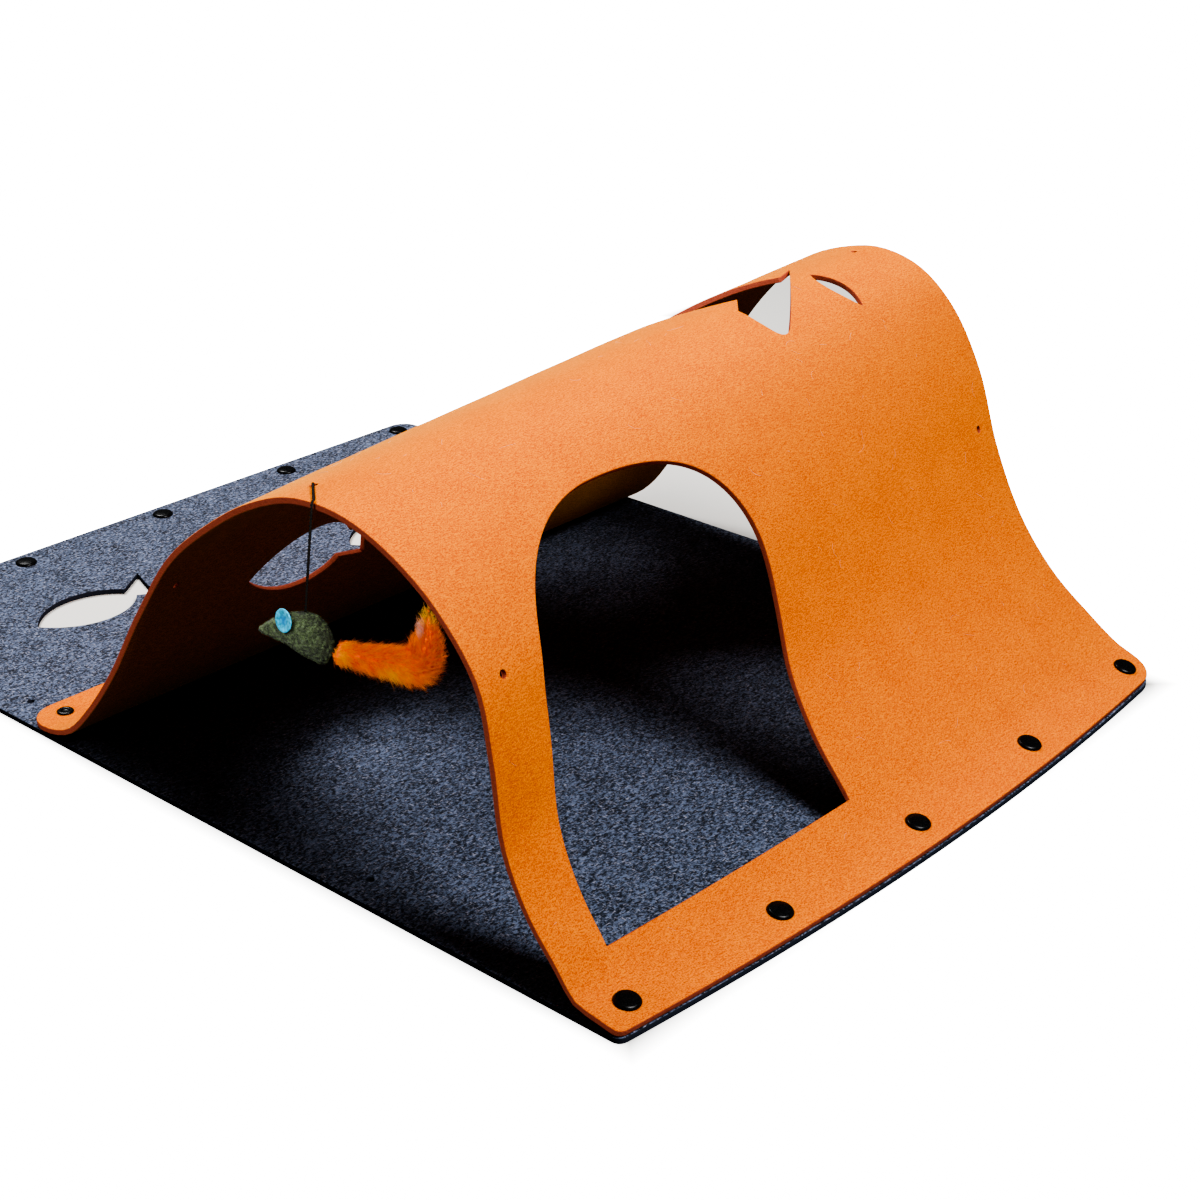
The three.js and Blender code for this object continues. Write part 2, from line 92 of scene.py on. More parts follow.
# Outer face of the sheet at each mouth: across the mat, and up
NEAR_MOUTH = (
    (0, 9.4), (12, 11.2), (24, 13), (35, 15.2), (51.5, 34), (73, 59.5), (91.5, 96.5),
    (101, 154), (113, 202), (145.5, 239.5), (180, 262), (215, 275), (246, 278.5),
    (278, 275), (312.5, 261.5), (346.5, 241.5), (402.5, 196.5), (441, 145), (479, 86),
    (510, 46.8), (539, 19), (562, 10.4), (582, 9.3), (596, 9.3),
)
FAR_MOUTH = (
    (0, 9.6), (12, 13.2), (24, 16.8), (36, 21.2), (65, 39.5), (98.5, 64), (133, 103),
    (162, 158), (184.5, 218.5), (213, 263.5), (247, 290), (285.5, 298.5), (320.5, 293),
    (354, 280), (387.5, 256.5), (419.5, 219.5), (450, 167), (478, 110), (503.5, 63),
    (529, 29), (550, 13), (568, 9.7), (582, 9.3), (596, 9.3),
)

# Holes
SNAP_INSET = 18
SNAP_ROW = (-300, -150, 0, 150, 300)
FRONT_SNAP_ROW = (-300, -160, -8, 142, 301)
REAR_ROW = PANEL_WIDTH - SNAP_INSET
SNAP_HOLE = 3.0
MAT_HOLE = 4.0
TOY_HOLE = 2.7
TOY_HOLE_INSET = 23
TOY_HOLE_PITCH = 190
MAT_FISH = {"along": -220, "across": 726, "length": 122, "height": 56}
MAT_SECOND_FISH = {"along": 70, "across": 663, "length": 122, "height": 56}
SHEET_FISH = {
    "along": -220, "across": 661, "length": 126, "height": 68,
    "tail_half": 0.4, "low_belly": 0.62, "low_slip": 0.1, "low_waist": 0.28,
}

# Cord: its height over the sheet, where it crosses the rim, its hang below it, and its knot
CORD_CLEARANCE = 1.7
CORD_RIM_ACROSS = 404.2
CORD_HANG = (-4.6, 5.9, -74.1)
CORD_RIM_TURN = 3.2 / 74.1
KNOT_DEPTH = 2.8
KNOT_HALF = (0.95, 0.95, 1.1)
KNOT_THREAD = 0.9

# Toy, in its own axes from the cord's end: along it from nose to tail, across it, and up.
# BODY_ALONG and BODY_UP follow the body's middle, and TAIL_LINE adds the tail's radius.
TOY_TURN = math.radians(-48.8)
TOY_LIFT = 0.86
BODY_ALONG = (-30.3, -16.9, -3.9, 6.8, 13.2, 16.2)
BODY_UP = (-13.4, -12.1, -13.9, -20.2, -28.4, -33.2)
RUMP_START, RUMP_LENGTH = 2, 24
RUMP_SHORTER = 5
HAUNCH_DROP = 3
TUFT = 1.4
TUFT_SHADES = (0.1, 0.4, 1.2, 3.0)
TAIL_LONGER = 7
TAIL_START = 11
TAIL_REACH = 22
TAIL_MIDDLE = -27
TAIL_TIP = 78
TAIL_LINE = (
    (11.5, -25.2, 6.0), (17.0, -26.6, 7.6), (25.5, -29.5, 9.0), (34.8, -32.4, 10.0),
    (43.5, -34.0, 10.6), (52.2, -35.2, 11.4), (59.9, -36.8, 12.6), (67.7, -38.4, 13.4),
    (74.2, -35.4, 13.4), (76.5, -24.3, 11.0), (77.1, -14.1, 8.3), (76.7, -5.4, 5.8),
    (76.5, 1.4, 3.5), (76.4, 5.3, 1.5),
)
EARS = (
    ("left", (-12.1, -9.8, -2.4), (-0.7, -0.7, 0.12)),
    ("right", (-13.6, 10.4, -15.4), (-0.22, 0.95, -0.05)),
)
EAR_RADIUS = 7.7
EAR_THICKNESS = 1.2

# Fur: two base colours, and patches of painted highlight in yellow and grey-white, by place on the
# toy, reach, strength and colour
FUR_RED, FUR_ORANGE = (0.95, 0.05, 0.001), (1.0, 0.235, 0.004)
FUR_YELLOW_HIGHLIGHT, FUR_GREY_HIGHLIGHT = (1.0, 0.56, 0.06), (0.6, 0.48, 0.42)
FUR_HIGHLIGHT_PATCHES = (
    ((52, -6, -38), (12, 10, 6), 0.6, FUR_YELLOW_HIGHLIGHT),
    ((20, -5, -27), (8, 8, 7), 0.6, FUR_YELLOW_HIGHLIGHT),
    ((77, -2, -2), (5, 8, 10), 1.6, FUR_YELLOW_HIGHLIGHT),
    ((71, -4, -13), (5, 9, 8), 1.5, FUR_GREY_HIGHLIGHT),
)

# Snap caps and rings: radius, and height over the felt. A post goes down through the felt.
CAP_PROFILE = (
    (0, 3.2), (2.2, 3.16), (4.2, 3.0), (6.0, 2.72), (6.5, 2.58), (6.9, 2.56), (7.4, 2.52),
    (8.3, 1.98), (8.9, 1.35), (9.2, 0.8), (9.22, 0.5), (9.05, 0.3), (2.4, 0.3),
)
RING_PROFILE = (
    (0, 0.7), (2.3, 0.7), (2.7, 0.85), (3.1, 1.45), (3.6, 1.66), (4.6, 1.7), (5.6, 1.6),
    (6.2, 1.2), (6.45, 0.7), (6.35, 0.34), (6.2, 0.3), (2.4, 0.3),
)
POST_RADIUS = 2.4
SHEET_POST = 8.2
MAT_POST = 4.1

# Camera, fitted to the photograph
CAMERA_PLACE = (-1.1324, -1.1103, 0.7836)
CAMERA_AZIMUTH = math.radians(41.245)
CAMERA_DROP = math.radians(24.851)
CAMERA_ROLL = math.radians(0.54)
CAMERA_ANGLE = math.radians(30.77)

# Studio, in metres
FLOOR_HALF = 30
WALL_HEIGHT = 10
FLOOR_GAP = 0.0003
FLOOR_GLOW = 6.0
GLOW_FADE = 0.03
# Middle and half size of the places under the openings where the floor doesn't glow
UNLIT_FLOOR = (((0, 0), (0.315, 0.42)), ((0.36, 0.07), (0.07, 0.1)), ((0.93, 0.4), (0.12, 0.07)))
# Name, place and width of each soft light, and the start of the names of what it lights alone
LIGHTS = (
    ("front", (0.0, -1.45, 1.95), 1.0, ()),
    ("toy", (-1.5, -0.9, 1.2), 0.5, ("mouse_", "tail_", "ear_", "cord")),
    ("rear", (0.15, 1.4, 2.0), 1.1, ()),
    ("rim", (-1.6, 0.05, 0.35), 0.5, ("felt_tunnel",)),
)


# The arch as a surface over the flat sheet ---


def spaced_curve(rows, count=1200, lengths=200):
    """Evenly spaced points on a smooth curve through the rows."""
    p = np.array(rows, float)
    p = np.vstack([2 * p[0] - p[1], p, 2 * p[-1] - p[-2]])
    gaps = np.sqrt(np.linalg.norm(np.diff(p, axis=0), axis=1))

    def at(t):
        place = np.clip(t, 0, 1) * (len(p) - 3)
        i = np.minimum(place.astype(int), len(p) - 4)
        w = (place - i)[:, None]
        x0, x1, x2, x3 = (p[i + k] for k in range(4))
        d0, d1, d2 = (gaps[i + k][:, None] for k in range(3))
        t1 = ((x1 - x0) / d0 - (x2 - x0) / (d0 + d1) + (x2 - x1) / d1) * d1
        t2 = ((x2 - x1) / d1 - (x3 - x1) / (d1 + d2) + (x3 - x2) / d2) * d1
        square, cube = 3 * (x2 - x1) - 2 * t1 - t2, 2 * (x1 - x2) + t1 + t2
        return x1 + t1 * w + square * w**2 + cube * w**3

    steps = np.linspace(0, 1, lengths + 1)
    run = np.concatenate([[0], np.cumsum(np.linalg.norm(np.diff(at(steps), axis=0), axis=1))])
    return at(np.interp(np.linspace(0, run[-1], count + 1), run, steps))


NEAR_CURVE = spaced_curve(NEAR_MOUTH)
FAR_CURVE = spaced_curve(FAR_MOUTH)


def curve_point(curve, share):
    at = np.clip(share, 0, 1) * (len(curve) - 1)
    ticks = np.arange(len(curve))
    return np.interp(at, ticks, curve[:, 0]), np.interp(at, ticks, curve[:, 1])


def outer_points(along, across):
    """Points on the sheet's outer face, in millimetres, for places on the flat sheet."""
    along, across = np.asarray(along, float), np.asarray(across, float)
    share, far = across / PANEL_WIDTH, along / PANEL_LENGTH + 0.5
    (y0, z0), (y1, z1) = curve_point(NEAR_CURVE, share), curve_point(FAR_CURVE, share)
    y, z = y0 + (y1 - y0) * far, z0 + (z1 - z0) * far
    mid = 1 - (along / HALF_LENGTH) ** 2
    z = z + CROWN_RISE * mid * np.minimum(1, z / CROWN_HEIGHT)
    y = y - FRONT_BOW * mid * np.maximum(0, 1 - y / BOW_HEIGHT) - ACROSS_CENTRE
    return np.stack([along + 0 * y, y, z], axis=-1)


def outer_normals(along, across, step=1.5):
    """The way out of the sheet's outer face at the same places."""
    along, across = np.asarray(along, float), np.asarray(across, float)
    before = outer_points(along, np.maximum(0, across - step))
    after = outer_points(along, np.minimum(PANEL_WIDTH, across + step))
    lengthwise = outer_points(along + step, across) - outer_points(along - step, across)
    normal = np.cross(lengthwise, after - before)
    return normal / np.linalg.norm(normal, axis=-1, keepdims=True)


def arch_points(along, across, height):
    """Points at a height over the sheet's outer face."""
    height = np.asarray(height)[..., None]
    return outer_points(along, across) + outer_normals(along, across) * height


def bezier(controls, steps):
    """Points on the Bezier curve of the controls, without its first."""
    points = []
    for k in range(1, steps + 1):
        part = np.array(controls, float)
        while len(part) > 1:
            part = part[:-1] + (part[1:] - part[:-1]) * (k / steps)
        points.append(part[0])
    return points


# Outlines on the flat felt ---


class Outline:
    """A closed line on the flat felt, in millimetres along and across it."""

    def __init__(self, *start):
        self.points = [start]

    def line(self, *to):
        self.points.append(to)

    def curve(self, *controls, steps=28):
        """A Bezier curve on from the last point to the last of the controls."""
        self.points += map(tuple, bezier([self.points[-1], *controls], steps))


def circle(along, across, radius, steps=32):
    turns = [2 * math.pi * k / steps for k in range(steps)]
    outline = Outline(along + radius, across)
    for turn in turns[1:]:
        outline.line(along + radius * math.cos(turn), across + radius * math.sin(turn))
    return outline


def panel_outline(bow, rear_corner):
    def dip(along):
        return -bow * (1 - (along / HALF_LENGTH) ** 2)

    near, far = NEAR_CORNER - HALF_LENGTH, HALF_LENGTH - FAR_CORNER
    slope = 2 * bow * near / HALF_LENGTH**2
    side, rear = HALF_LENGTH - rear_corner, PANEL_WIDTH - rear_corner
    middle = (near + far) / 2, dip(near) + slope * (far - near) / 2
    outline = Outline(near, dip(near))
    outline.curve(middle, (far, dip(far)), steps=60)
    outline.curve((HALF_LENGTH, 0), (HALF_LENGTH, FAR_CORNER))
    outline.line(HALF_LENGTH, rear)
    for centre, start in ((side, 0), (-side, math.pi / 2)):
        for k in range(17):
            turn = start + math.pi / 2 * k / 16
            outline.line(centre + rear_corner * math.cos(turn), rear + rear_corner * math.sin(turn))
    outline.line(-HALF_LENGTH, NEAR_CORNER)
    outline.curve((-HALF_LENGTH, 0), (near, dip(near)), steps=10)
    outline.points.pop()
    return outline


def door_outline():
    outline = Outline(-284, 55)
    outline.line(-38, 55)
    outline.curve((-16, 140), (-16, 204))
    outline.curve((-16, 302.4), (-65.02, 327), (-145, 327), steps=40)
    outline.curve((-213.75, 327), (-270, 271.65), (-270, 204), steps=40)
    return outline


def fish_outline(fish):
    """A fish with its nose towards the near mouth: a lens for the body and a forked tail."""
    def place(share, half):
        return fish["along"] + share * fish["length"], fish["across"] + half * fish["height"]

    fin, belly = fish.get("tail_half", 0.48), fish.get("low_belly", 0.67)
    slip = fish.get("low_slip", 0)
    nose = place(0, 0)
    outline = Outline(*nose)
    outline.curve(place(0.2, -0.67), place(0.58, -0.67), place(0.77, -0.15))
    outline.line(*place(1, -fin))
    outline.line(*place(0.92, 0))
    outline.line(*place(1, fin))
    outline.line(*place(0.77, fish.get("low_waist", 0.15)))
    outline.curve(place(0.58 + slip, belly), place(0.2 + slip, belly), nose)
    outline.points.pop()
    return outline


def roof_fish_outline():
    outline = Outline(145, 432)
    outline.line(121, 413)
    outline.line(117, 394)
    outline.curve((114, 361), (134, 373))
    outline.line(242, 452)
    outline.line(216, 442)
    outline.curve((185, 510), (72, 592))
    outline.curve((50, 478), (145, 432))
    outline.points.pop()
    return outline


def leaf_outline():
    outline = Outline(224, 366)
    outline.curve((240, 394), (228, 422))
    outline.curve((204, 394), (224, 366))
    outline.points.pop()
    return outline


def toy_holes():
    inset = HALF_LENGTH - TOY_HOLE_INSET
    return [
        circle(end * inset, PANEL_WIDTH / 2 + step * TOY_HOLE_PITCH, TOY_HOLE)
        for end in (-1, 1)
        for step in (-1, 0, 1)
    ]


# Mesh helpers ---


def link(name, mesh):
    piece = bpy.data.objects.new(name, mesh)
    bpy.context.scene.collection.objects.link(piece)
    return piece


def finish_piece(piece, slot, *nodes):
    """The piece rides on the one body and stands for its CAD nodes, which it hides; the slot is not
    used.
    """
    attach(piece, "root")
    if nodes:
        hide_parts(*nodes)
    return piece


def curve_mesh(name, lines, closed, **settings):
    """The mesh of a Blender curve with the given polylines."""
    data = bpy.data.curves.new(name, "CURVE")
    for key, value in settings.items():
        setattr(data, key, value)
    for points in lines:
        spline = data.splines.new("POLY")
        spline.points.add(len(points) - 1)
        for spot, point in zip(spline.points, points):
            spot.co = (*point, *(0,) * (3 - len(point)), 1)
        spline.use_cyclic_u = closed
    holder = bpy.data.objects.new(name, data)
    mesh = bpy.data.meshes.new_from_object(holder)
    bpy.data.objects.remove(holder)
    bpy.data.curves.remove(data)
    return mesh


def slice_shape(shape, place, way, near):
    """Cut new edges where a plane passes through the shape."""
    everything = [*shape.verts, *shape.edges, *shape.faces]
    bmesh.ops.bisect_plane(shape, geom=everything, plane_co=place, plane_no=way, dist=near)


def felt_panel(name, outlines, rounding):
    """A flat felt panel cut to its outlines, with rounded edges and an even grid to bend by."""
    half = FELT_THICKNESS / 2
    mesh = curve_mesh(
        name, [outline.points for outline in outlines], True,
        dimensions="2D", fill_mode="BOTH", extrude=half - rounding,
        bevel_depth=rounding, bevel_resolution=1, offset=-rounding,
    )
    shape = bmesh.new()
    shape.from_mesh(mesh)
    bmesh.ops.remove_doubles(shape, verts=shape.verts, dist=0.02)
    lengthwise, widthwise = (-HALF_LENGTH, HALF_LENGTH), (-FRONT_BOW, PANEL_WIDTH)
    for way, (low, high) in (((1, 0, 0), lengthwise), ((0, 1, 0), widthwise)):
        for cut in np.arange(low + CELL, high, CELL):
            slice_shape(shape, Vector(way) * cut, way, 0.01)
    bmesh.ops.triangulate(shape, faces=shape.faces)
    bmesh.ops.recalc_face_normals(shape, faces=shape.faces)
    uv = shape.loops.layers.uv.new("flat")
    for face in shape.faces:
        face.smooth = True
        face.material_index = 1 if abs(face.normal.z) < 0.5 else 0
        for loop in face.loops:
            loop[uv].uv = (loop.vert.co.x * MM, loop.vert.co.y * MM)
    shape.to_mesh(mesh)
    shape.free()
    return mesh


def ripple(along, across):
    """Slow unevenness of pressed felt, in shares of one."""
    waves = (
        (0.021, 0.013, 0.3), (-0.017, 0.027, 1.9), (0.044, -0.019, 4.1),
        (0.011, 0.051, 2.6), (-0.061, 0.037, 5.3), (0.083, 0.071, 0.9),
    )
    return sum(np.sin(a * along + b * across + c) for a, b, c in waves) / len(waves)


def coordinates(mesh):
    flat = np.zeros(len(mesh.vertices) * 3, np.float32)
    mesh.vertices.foreach_get("co", flat)
    return flat.reshape(-1, 3).astype(float)


def set_coordinates(mesh, points):
    mesh.vertices.foreach_set("co", np.asarray(points, np.float32).ravel())
    mesh.update()


def spun(profile, steps=48):
    """A turned shape about Z from its profile of radius and height, in millimetres."""
    shape = bmesh.new()
    spots = [shape.verts.new((radius, 0, height)) for radius, height in profile]
    edges = [shape.edges.new(pair) for pair in zip(spots, spots[1:])]
    bmesh.ops.spin(
        shape, geom=spots + edges, axis=(0, 0, 1), cent=(0, 0, 0), angle=2 * math.pi,
        steps=steps, use_merge=True,
    )
    bmesh.ops.remove_doubles(shape, verts=shape.verts, dist=0.001)
    bmesh.ops.recalc_face_normals(shape, faces=shape.faces)
    smooth_faces(shape)
    return shape


def to_piece(name, shape, matrix):
    """A bmesh shape in millimetres as a piece in metres."""
    bmesh.ops.transform(shape, matrix=Matrix.Scale(MM, 4) @ matrix, verts=shape.verts)
    mesh = bpy.data.meshes.new(name)
    shape.to_mesh(mesh)
    shape.free()
    return link(name, mesh)


def turned_up(normal):
    """A turn that takes Z to the normal."""
    return Vector((0, 0, 1)).rotation_difference(Vector(normal)).to_matrix().to_4x4()


def upright_at(point, normal):
    return Matrix.Translation(Vector(point)) @ turned_up(normal)


def smooth_faces(shape):
    for face in shape.faces:
        face.smooth = True


def copy_of_node(node):
    """A merged copy of a CAD node's mesh, in metres."""
    shape = bmesh.new()
    shape.from_mesh(frame["nodes"][node].data)
    bmesh.ops.remove_doubles(shape, verts=shape.verts, dist=1e-6)
    return shape


# Shader helpers ---


class Value:
    """A number or colour in a node tree, with arithmetic on numbers."""

    def __init__(self, tree, socket):
        self.tree, self.socket = tree, socket

    def math(self, operation, *values):
        settings = {"operation": operation}
        return add_node(self.tree, "ShaderNodeMath", settings, dict(enumerate(values)))

    def __add__(self, other):
        return self.math("ADD", self, other)

    def __sub__(self, other):
        return self.math("SUBTRACT", self, other)

    def __rsub__(self, other):
        return self.math("SUBTRACT", other, self)

    def __mul__(self, other):
        return self.math("MULTIPLY", self, other)

    __radd__ = __add__
    __rmul__ = __mul__


def add_node(tree, kind, settings=None, sockets=None, output=0):
    """Any node: its settings first, then values or links into its sockets."""
    node = tree.nodes.new(kind)
    for key, value in (settings or {}).items():
        if key == "stops":
            ramp = node.color_ramp.elements
            while len(ramp) < len(value):
                ramp.new(0.5)
            for element, (place, colour) in zip(ramp, value):
                element.position, element.color = place, colour
        else:
            setattr(node, key, value)
    for key, value in (sockets or {}).items():
        if isinstance(value, Value):
            tree.links.new(value.socket, node.inputs[key])
        else:
            node.inputs[key].default_value = value
    return Value(tree, node.outputs[output])


class Finish:
    """A material being made, with its Principled shader."""

    def __init__(self, name, **shader):
        self.material = bpy.data.materials.new(name)
        self.material.use_nodes = True
        self.tree = self.material.node_tree
        self.shader = self.tree.nodes["Principled BSDF"]
        for key, value in shader.items():
            self.shader.inputs[key.replace("_", " ")].default_value = value

    def node(self, kind, settings=None, sockets=None, output=0):
        return add_node(self.tree, kind, settings, sockets, output)

    def place(self, uv):
        """Object coordinates, or the flat felt's own map, in metres."""
        if uv:
            return self.node("ShaderNodeUVMap", {"uv_map": "flat"})
        return self.node("ShaderNodeTexCoord", output=3)

    def noise(self, vector, scale, detail=2.0, stretch=None, turn=0.0, rough=0.5, bend=0.0):
        """Noise of about one, stretched into streaks where asked."""
        if stretch:
            vector = self.node(
                "ShaderNodeMapping", None,
                {"Vector": vector, "Rotation": (0, 0, turn), "Scale": stretch},
            )
        return self.node("ShaderNodeTexNoise", {"noise_dimensions": "3D"}, {
            "Vector": vector, "Scale": scale, "Detail": detail, "Roughness": rough,
            "Distortion": bend,
        })

    def steps(self, value, low, high, start=0.0, end=1.0):
        """The value moved from low..high to start..end and held there."""
        return self.node("ShaderNodeMapRange", {"clamp": True}, {
            "Value": value, "From Min": low, "From Max": high, "To Min": start, "To Max": end,
        })

    def mix(self, share, first, second):
        settings = {"data_type": "RGBA", "clamp_factor": True}
        sockets = {0: share, 6: first, 7: second}
        return self.node("ShaderNodeMix", settings, sockets, output=2)

    def set(self, **links):
        for key, value in links.items():
            self.tree.links.new(value.socket, self.shader.inputs[key.replace("_", " ")])

    def bump(self, height, distance, strength=1.0):
        sockets = {"Strength": strength, "Distance": distance, "Height": height}
        self.set(Normal=self.node("ShaderNodeBump", None, sockets))


def opaque(colour, times=1):
    """A colour, made that many times lighter, for a socket."""
    return (*(part * times for part in colour), 1.0)


def felt_streaks(finish, place, size, long):
    """Crossing fibres of pressed felt: streaks in four directions, about one half."""
    streaks = None
    for turn, scale in ((0.2, 1.1), (0.95, 1.4), (1.75, 1.2), (2.5, 1.5)):
        one = finish.noise(place, scale * size, 2.0, (1, long, 1), turn, bend=0.8)
        streaks = one if streaks is None else streaks.math("MAXIMUM", streaks, one)
    return streaks


def orange_felt(look):
    finish = Finish(
        "felt_orange", Roughness=0.95, Specular_IOR_Level=0.1, Sheen_Weight=0.33,
        Sheen_Roughness=0.4, Sheen_Tint=opaque(look.sheen),
    )
    place = finish.place(True)
    streaks = felt_streaks(finish, place, 220, 3.2)
    grain = finish.noise(place, 900, 3.0, rough=0.6)
    clouds = finish.noise(place, 30, 4.0)
    tone = finish.steps(streaks * 0.5 + grain * 0.44 + clouds * 0.06, 0.48, 0.61)
    colour = finish.mix(tone, opaque(look.orange_dark), opaque(look.orange_light))
    finish.set(Base_Color=colour)
    finish.bump(streaks * 0.6 + grain * 0.4, 0.0006, 0.55)
    return finish.material


def felt_edge(name, colour):
    """The cut edge: layered and rougher than the pressed face, and darker, partly as painted shade
    on the thin edge.
    """
    finish = Finish(name, Roughness=1.0, Specular_IOR_Level=0.1)
    place = finish.place(False)
    grain = finish.noise(place, 1200, 4.0)
    layers = finish.noise(place, 300, 2.0, (1, 1, 5))
    tone = finish.steps(grain * 0.6 + layers * 0.4, 0.35, 0.65, 0.6, 1.3)
    finish.set(Base_Color=finish.mix(tone * 0.6, opaque(colour, 0.45), opaque(colour, 1.5)))
    finish.bump(grain, 0.0006, 0.6)
    return finish.material


def navy_felt(look):
    finish = Finish(
        "felt_navy", Roughness=0.95, Specular_IOR_Level=0.2, Sheen_Weight=0.12, Sheen_Roughness=0.5,
    )
    place = finish.place(True)
    streaks = felt_streaks(finish, place, 170, 2.0)
    grain = finish.noise(place, 430, 3.0, rough=0.65)
    clouds = finish.noise(place, 45, 3.0)
    body = finish.steps(streaks * 0.6 + grain * 0.3 + clouds * 0.1, 0.515, 0.63)
    colour = finish.mix(body, opaque(look.navy_dark), opaque(look.navy_light))
    flecks = finish.noise(place, 220, 2.0, (1, 3, 1), 0.6)
    more = finish.noise(place, 240, 2.0, (3, 1, 1), 0.2)
    fleck = finish.steps(flecks.math("MAXIMUM", flecks, more), 0.6, 0.74, 0.0, 0.8)
    finish.set(Base_Color=finish.mix(fleck, colour, opaque(look.navy_fleck)))
    finish.bump(streaks * 0.5 + grain * 0.5, 0.0006, 0.6)
    return finish.material


def snap_gloss(look):
    finish = Finish("snap_black", Roughness=0.3, Specular_IOR_Level=0.22)
    place = finish.place(False)
    wear = finish.noise(place, 900, 3.0)
    colour = finish.mix(finish.steps(wear, 0.45, 0.7), opaque(look.snap), opaque(look.snap, 3))
    finish.set(Base_Color=colour, Roughness=finish.steps(wear, 0.35, 0.75, 0.24, 0.38))
    finish.bump(finish.noise(place, 260, 2.0), 0.00005, 0.3)
    return finish.material


def cord_thread(look):
    finish = Finish("cord_black", Roughness=0.9, Specular_IOR_Level=0.1)
    place = finish.place(False)
    threads = finish.noise(place, 2600, 2.0, (1, 1, 0.35), 0.0)
    colour = finish.mix(finish.steps(threads, 0.35, 0.7), opaque(look.cord), opaque(look.cord, 3))
    finish.set(Base_Color=colour)
    finish.bump(threads, 0.0003, 0.7)
    return finish.material


def tinted(name, roughness, sheen, grain_scale):
    """Pile or fur that takes its colour from each strand's tint."""
    finish = Finish(name, Roughness=roughness, Specular_IOR_Level=0.15, Sheen_Weight=sheen)
    tint = finish.node("ShaderNodeAttribute", {"attribute_name": "tint"})
    grain = finish.noise(finish.place(False), grain_scale, 2.0)
    shade = finish.steps(grain, 0.3, 0.7, 0.0, 0.2)
    finish.set(Base_Color=finish.mix(shade, tint, opaque((0.02, 0.01, 0.0))))
    return finish.material


def plush(look):
    finish = Finish("plush_olive", Roughness=0.95, Specular_IOR_Level=0.2, Sheen_Weight=0.15)
    place = finish.place(False)
    pile = finish.noise(place, 620, 3.0, rough=0.7)
    tone = finish.steps(pile, 0.4, 0.62)
    finish.set(Base_Color=finish.mix(tone, opaque(look.olive, 0.35), opaque(look.olive, 1.9)))
    finish.bump(pile, 0.001, 0.9)
    return finish.material


def ear_felt(look, centre):
    finish = Finish("felt_cyan", Roughness=0.9, Specular_IOR_Level=0.2, Sheen_Weight=0.2)
    place = finish.place(False)
    settings = {"operation": "DISTANCE"}
    reach = finish.node("ShaderNodeVectorMath", settings, {0: place, 1: centre}, output=1)
    grain = finish.noise(place, 500, 3.0)
    spot = finish.steps(reach + (grain - 0.5) * 0.004, 0.0016, 0.0042, 1.0, 0.0)
    tone = finish.steps(grain, 0.35, 0.7)
    plain = finish.mix(tone, opaque(look.cyan, 0.6), opaque(look.cyan, 1.5))
    finish.set(Base_Color=finish.mix(spot * 0.7, plain, opaque(look.blue)))
    finish.bump(grain, 0.0006, 0.6)
    return finish.material


# Settings ---


def colour_setting(name, description, default):
    return FloatVectorProperty(
        name=name, description=description, subtype="COLOR", size=3, min=0, max=1, default=default,
    )


def length_setting(name, description, default, low, high):
    """A length, given in millimetres and held in metres."""
    return FloatProperty(
        name=name, description=description, default=default * MM, min=low * MM, max=high * MM,
        precision=5, unit="LENGTH",
    )


def count_setting(name, description, default):
    return IntProperty(name=name, description=description, default=default, min=0)


def power_setting(name, description, default):
    return FloatProperty(name=name, description=description, default=default, min=0, unit="POWER")


class FeltLook(bpy.types.PropertyGroup):
    """Colours and finish of the two felt panels."""

    orange_light: colour_setting(
        "Orange, light fibres", "Light fibres of the orange", (1.0, 0.285, 0.02),
    )
    orange_dark: colour_setting(
        "Orange, dark fibres", "Dark fibres of the orange", (0.66, 0.115, 0.009),
    )
    # Darker than the orange face: partly painted shade on the thin cut edge
    orange_edge: colour_setting(
        "Orange, cut edge", "Cut edge of the orange felt", (0.5, 0.12, 0.07),
    )
    sheen: colour_setting("Sheen", "Tint of the orange felt's fine nap", (1.0, 0.95, 0.3))
    navy_dark: colour_setting("Navy, dark fibres", "Dark fibres of the mat", (0.012, 0.016, 0.026))
    navy_light: colour_setting(
        "Navy, light fibres", "Light fibres of the mat", (0.158, 0.197, 0.305),
    )
    navy_fleck: colour_setting(
        "Navy, flecks", "Pale lavender flecks of the mat", (0.45, 0.45, 0.55),
    )
    # Darker than the mat's face: partly painted shade on the thin cut edge
    navy_edge: colour_setting("Navy, cut edge", "Cut edge of the mat", (0.03, 0.036, 0.055))
    rounding: length_setting("Edge rounding", "Rounding of the felt's cut edges", 0.7, 0.1, 2)
    ripple: length_setting("Ripple", "Height of the felt's slow unevenness", 0.35, 0, 2)


class SmallPartsLook(bpy.types.PropertyGroup):
    """Colours of the snaps, the cord and the toy, its hairs and the loose fibres."""

    snap: colour_setting("Snaps", "Glossy plastic of the snap fasteners", (0.0035, 0.0037, 0.004))
    cord: colour_setting("Cord", "Twisted thread of the cord", (0.008, 0.007, 0.006))
    olive: colour_setting("Body", "Short pile of the mouse's body", (0.058, 0.08, 0.036))
    cyan: colour_setting("Ears", "Felt of the mouse's ears", (0.03, 0.36, 0.54))
    blue: colour_setting("Ear spots", "Darker middle of the ears", (0.01, 0.14, 0.38))
    cord_width: length_setting("Cord width", "Width of the twisted cord", 2.0, 0.5, 4)
    body_hairs: count_setting("Body hairs", "Short hairs on the mouse's body", 14000)
    tail_hairs: count_setting("Tail hairs", "Long hairs on the mouse's tail", 9000)
    stray_fibres: count_setting("Stray fibres", "Loose pale fibres on the orange felt", 130)


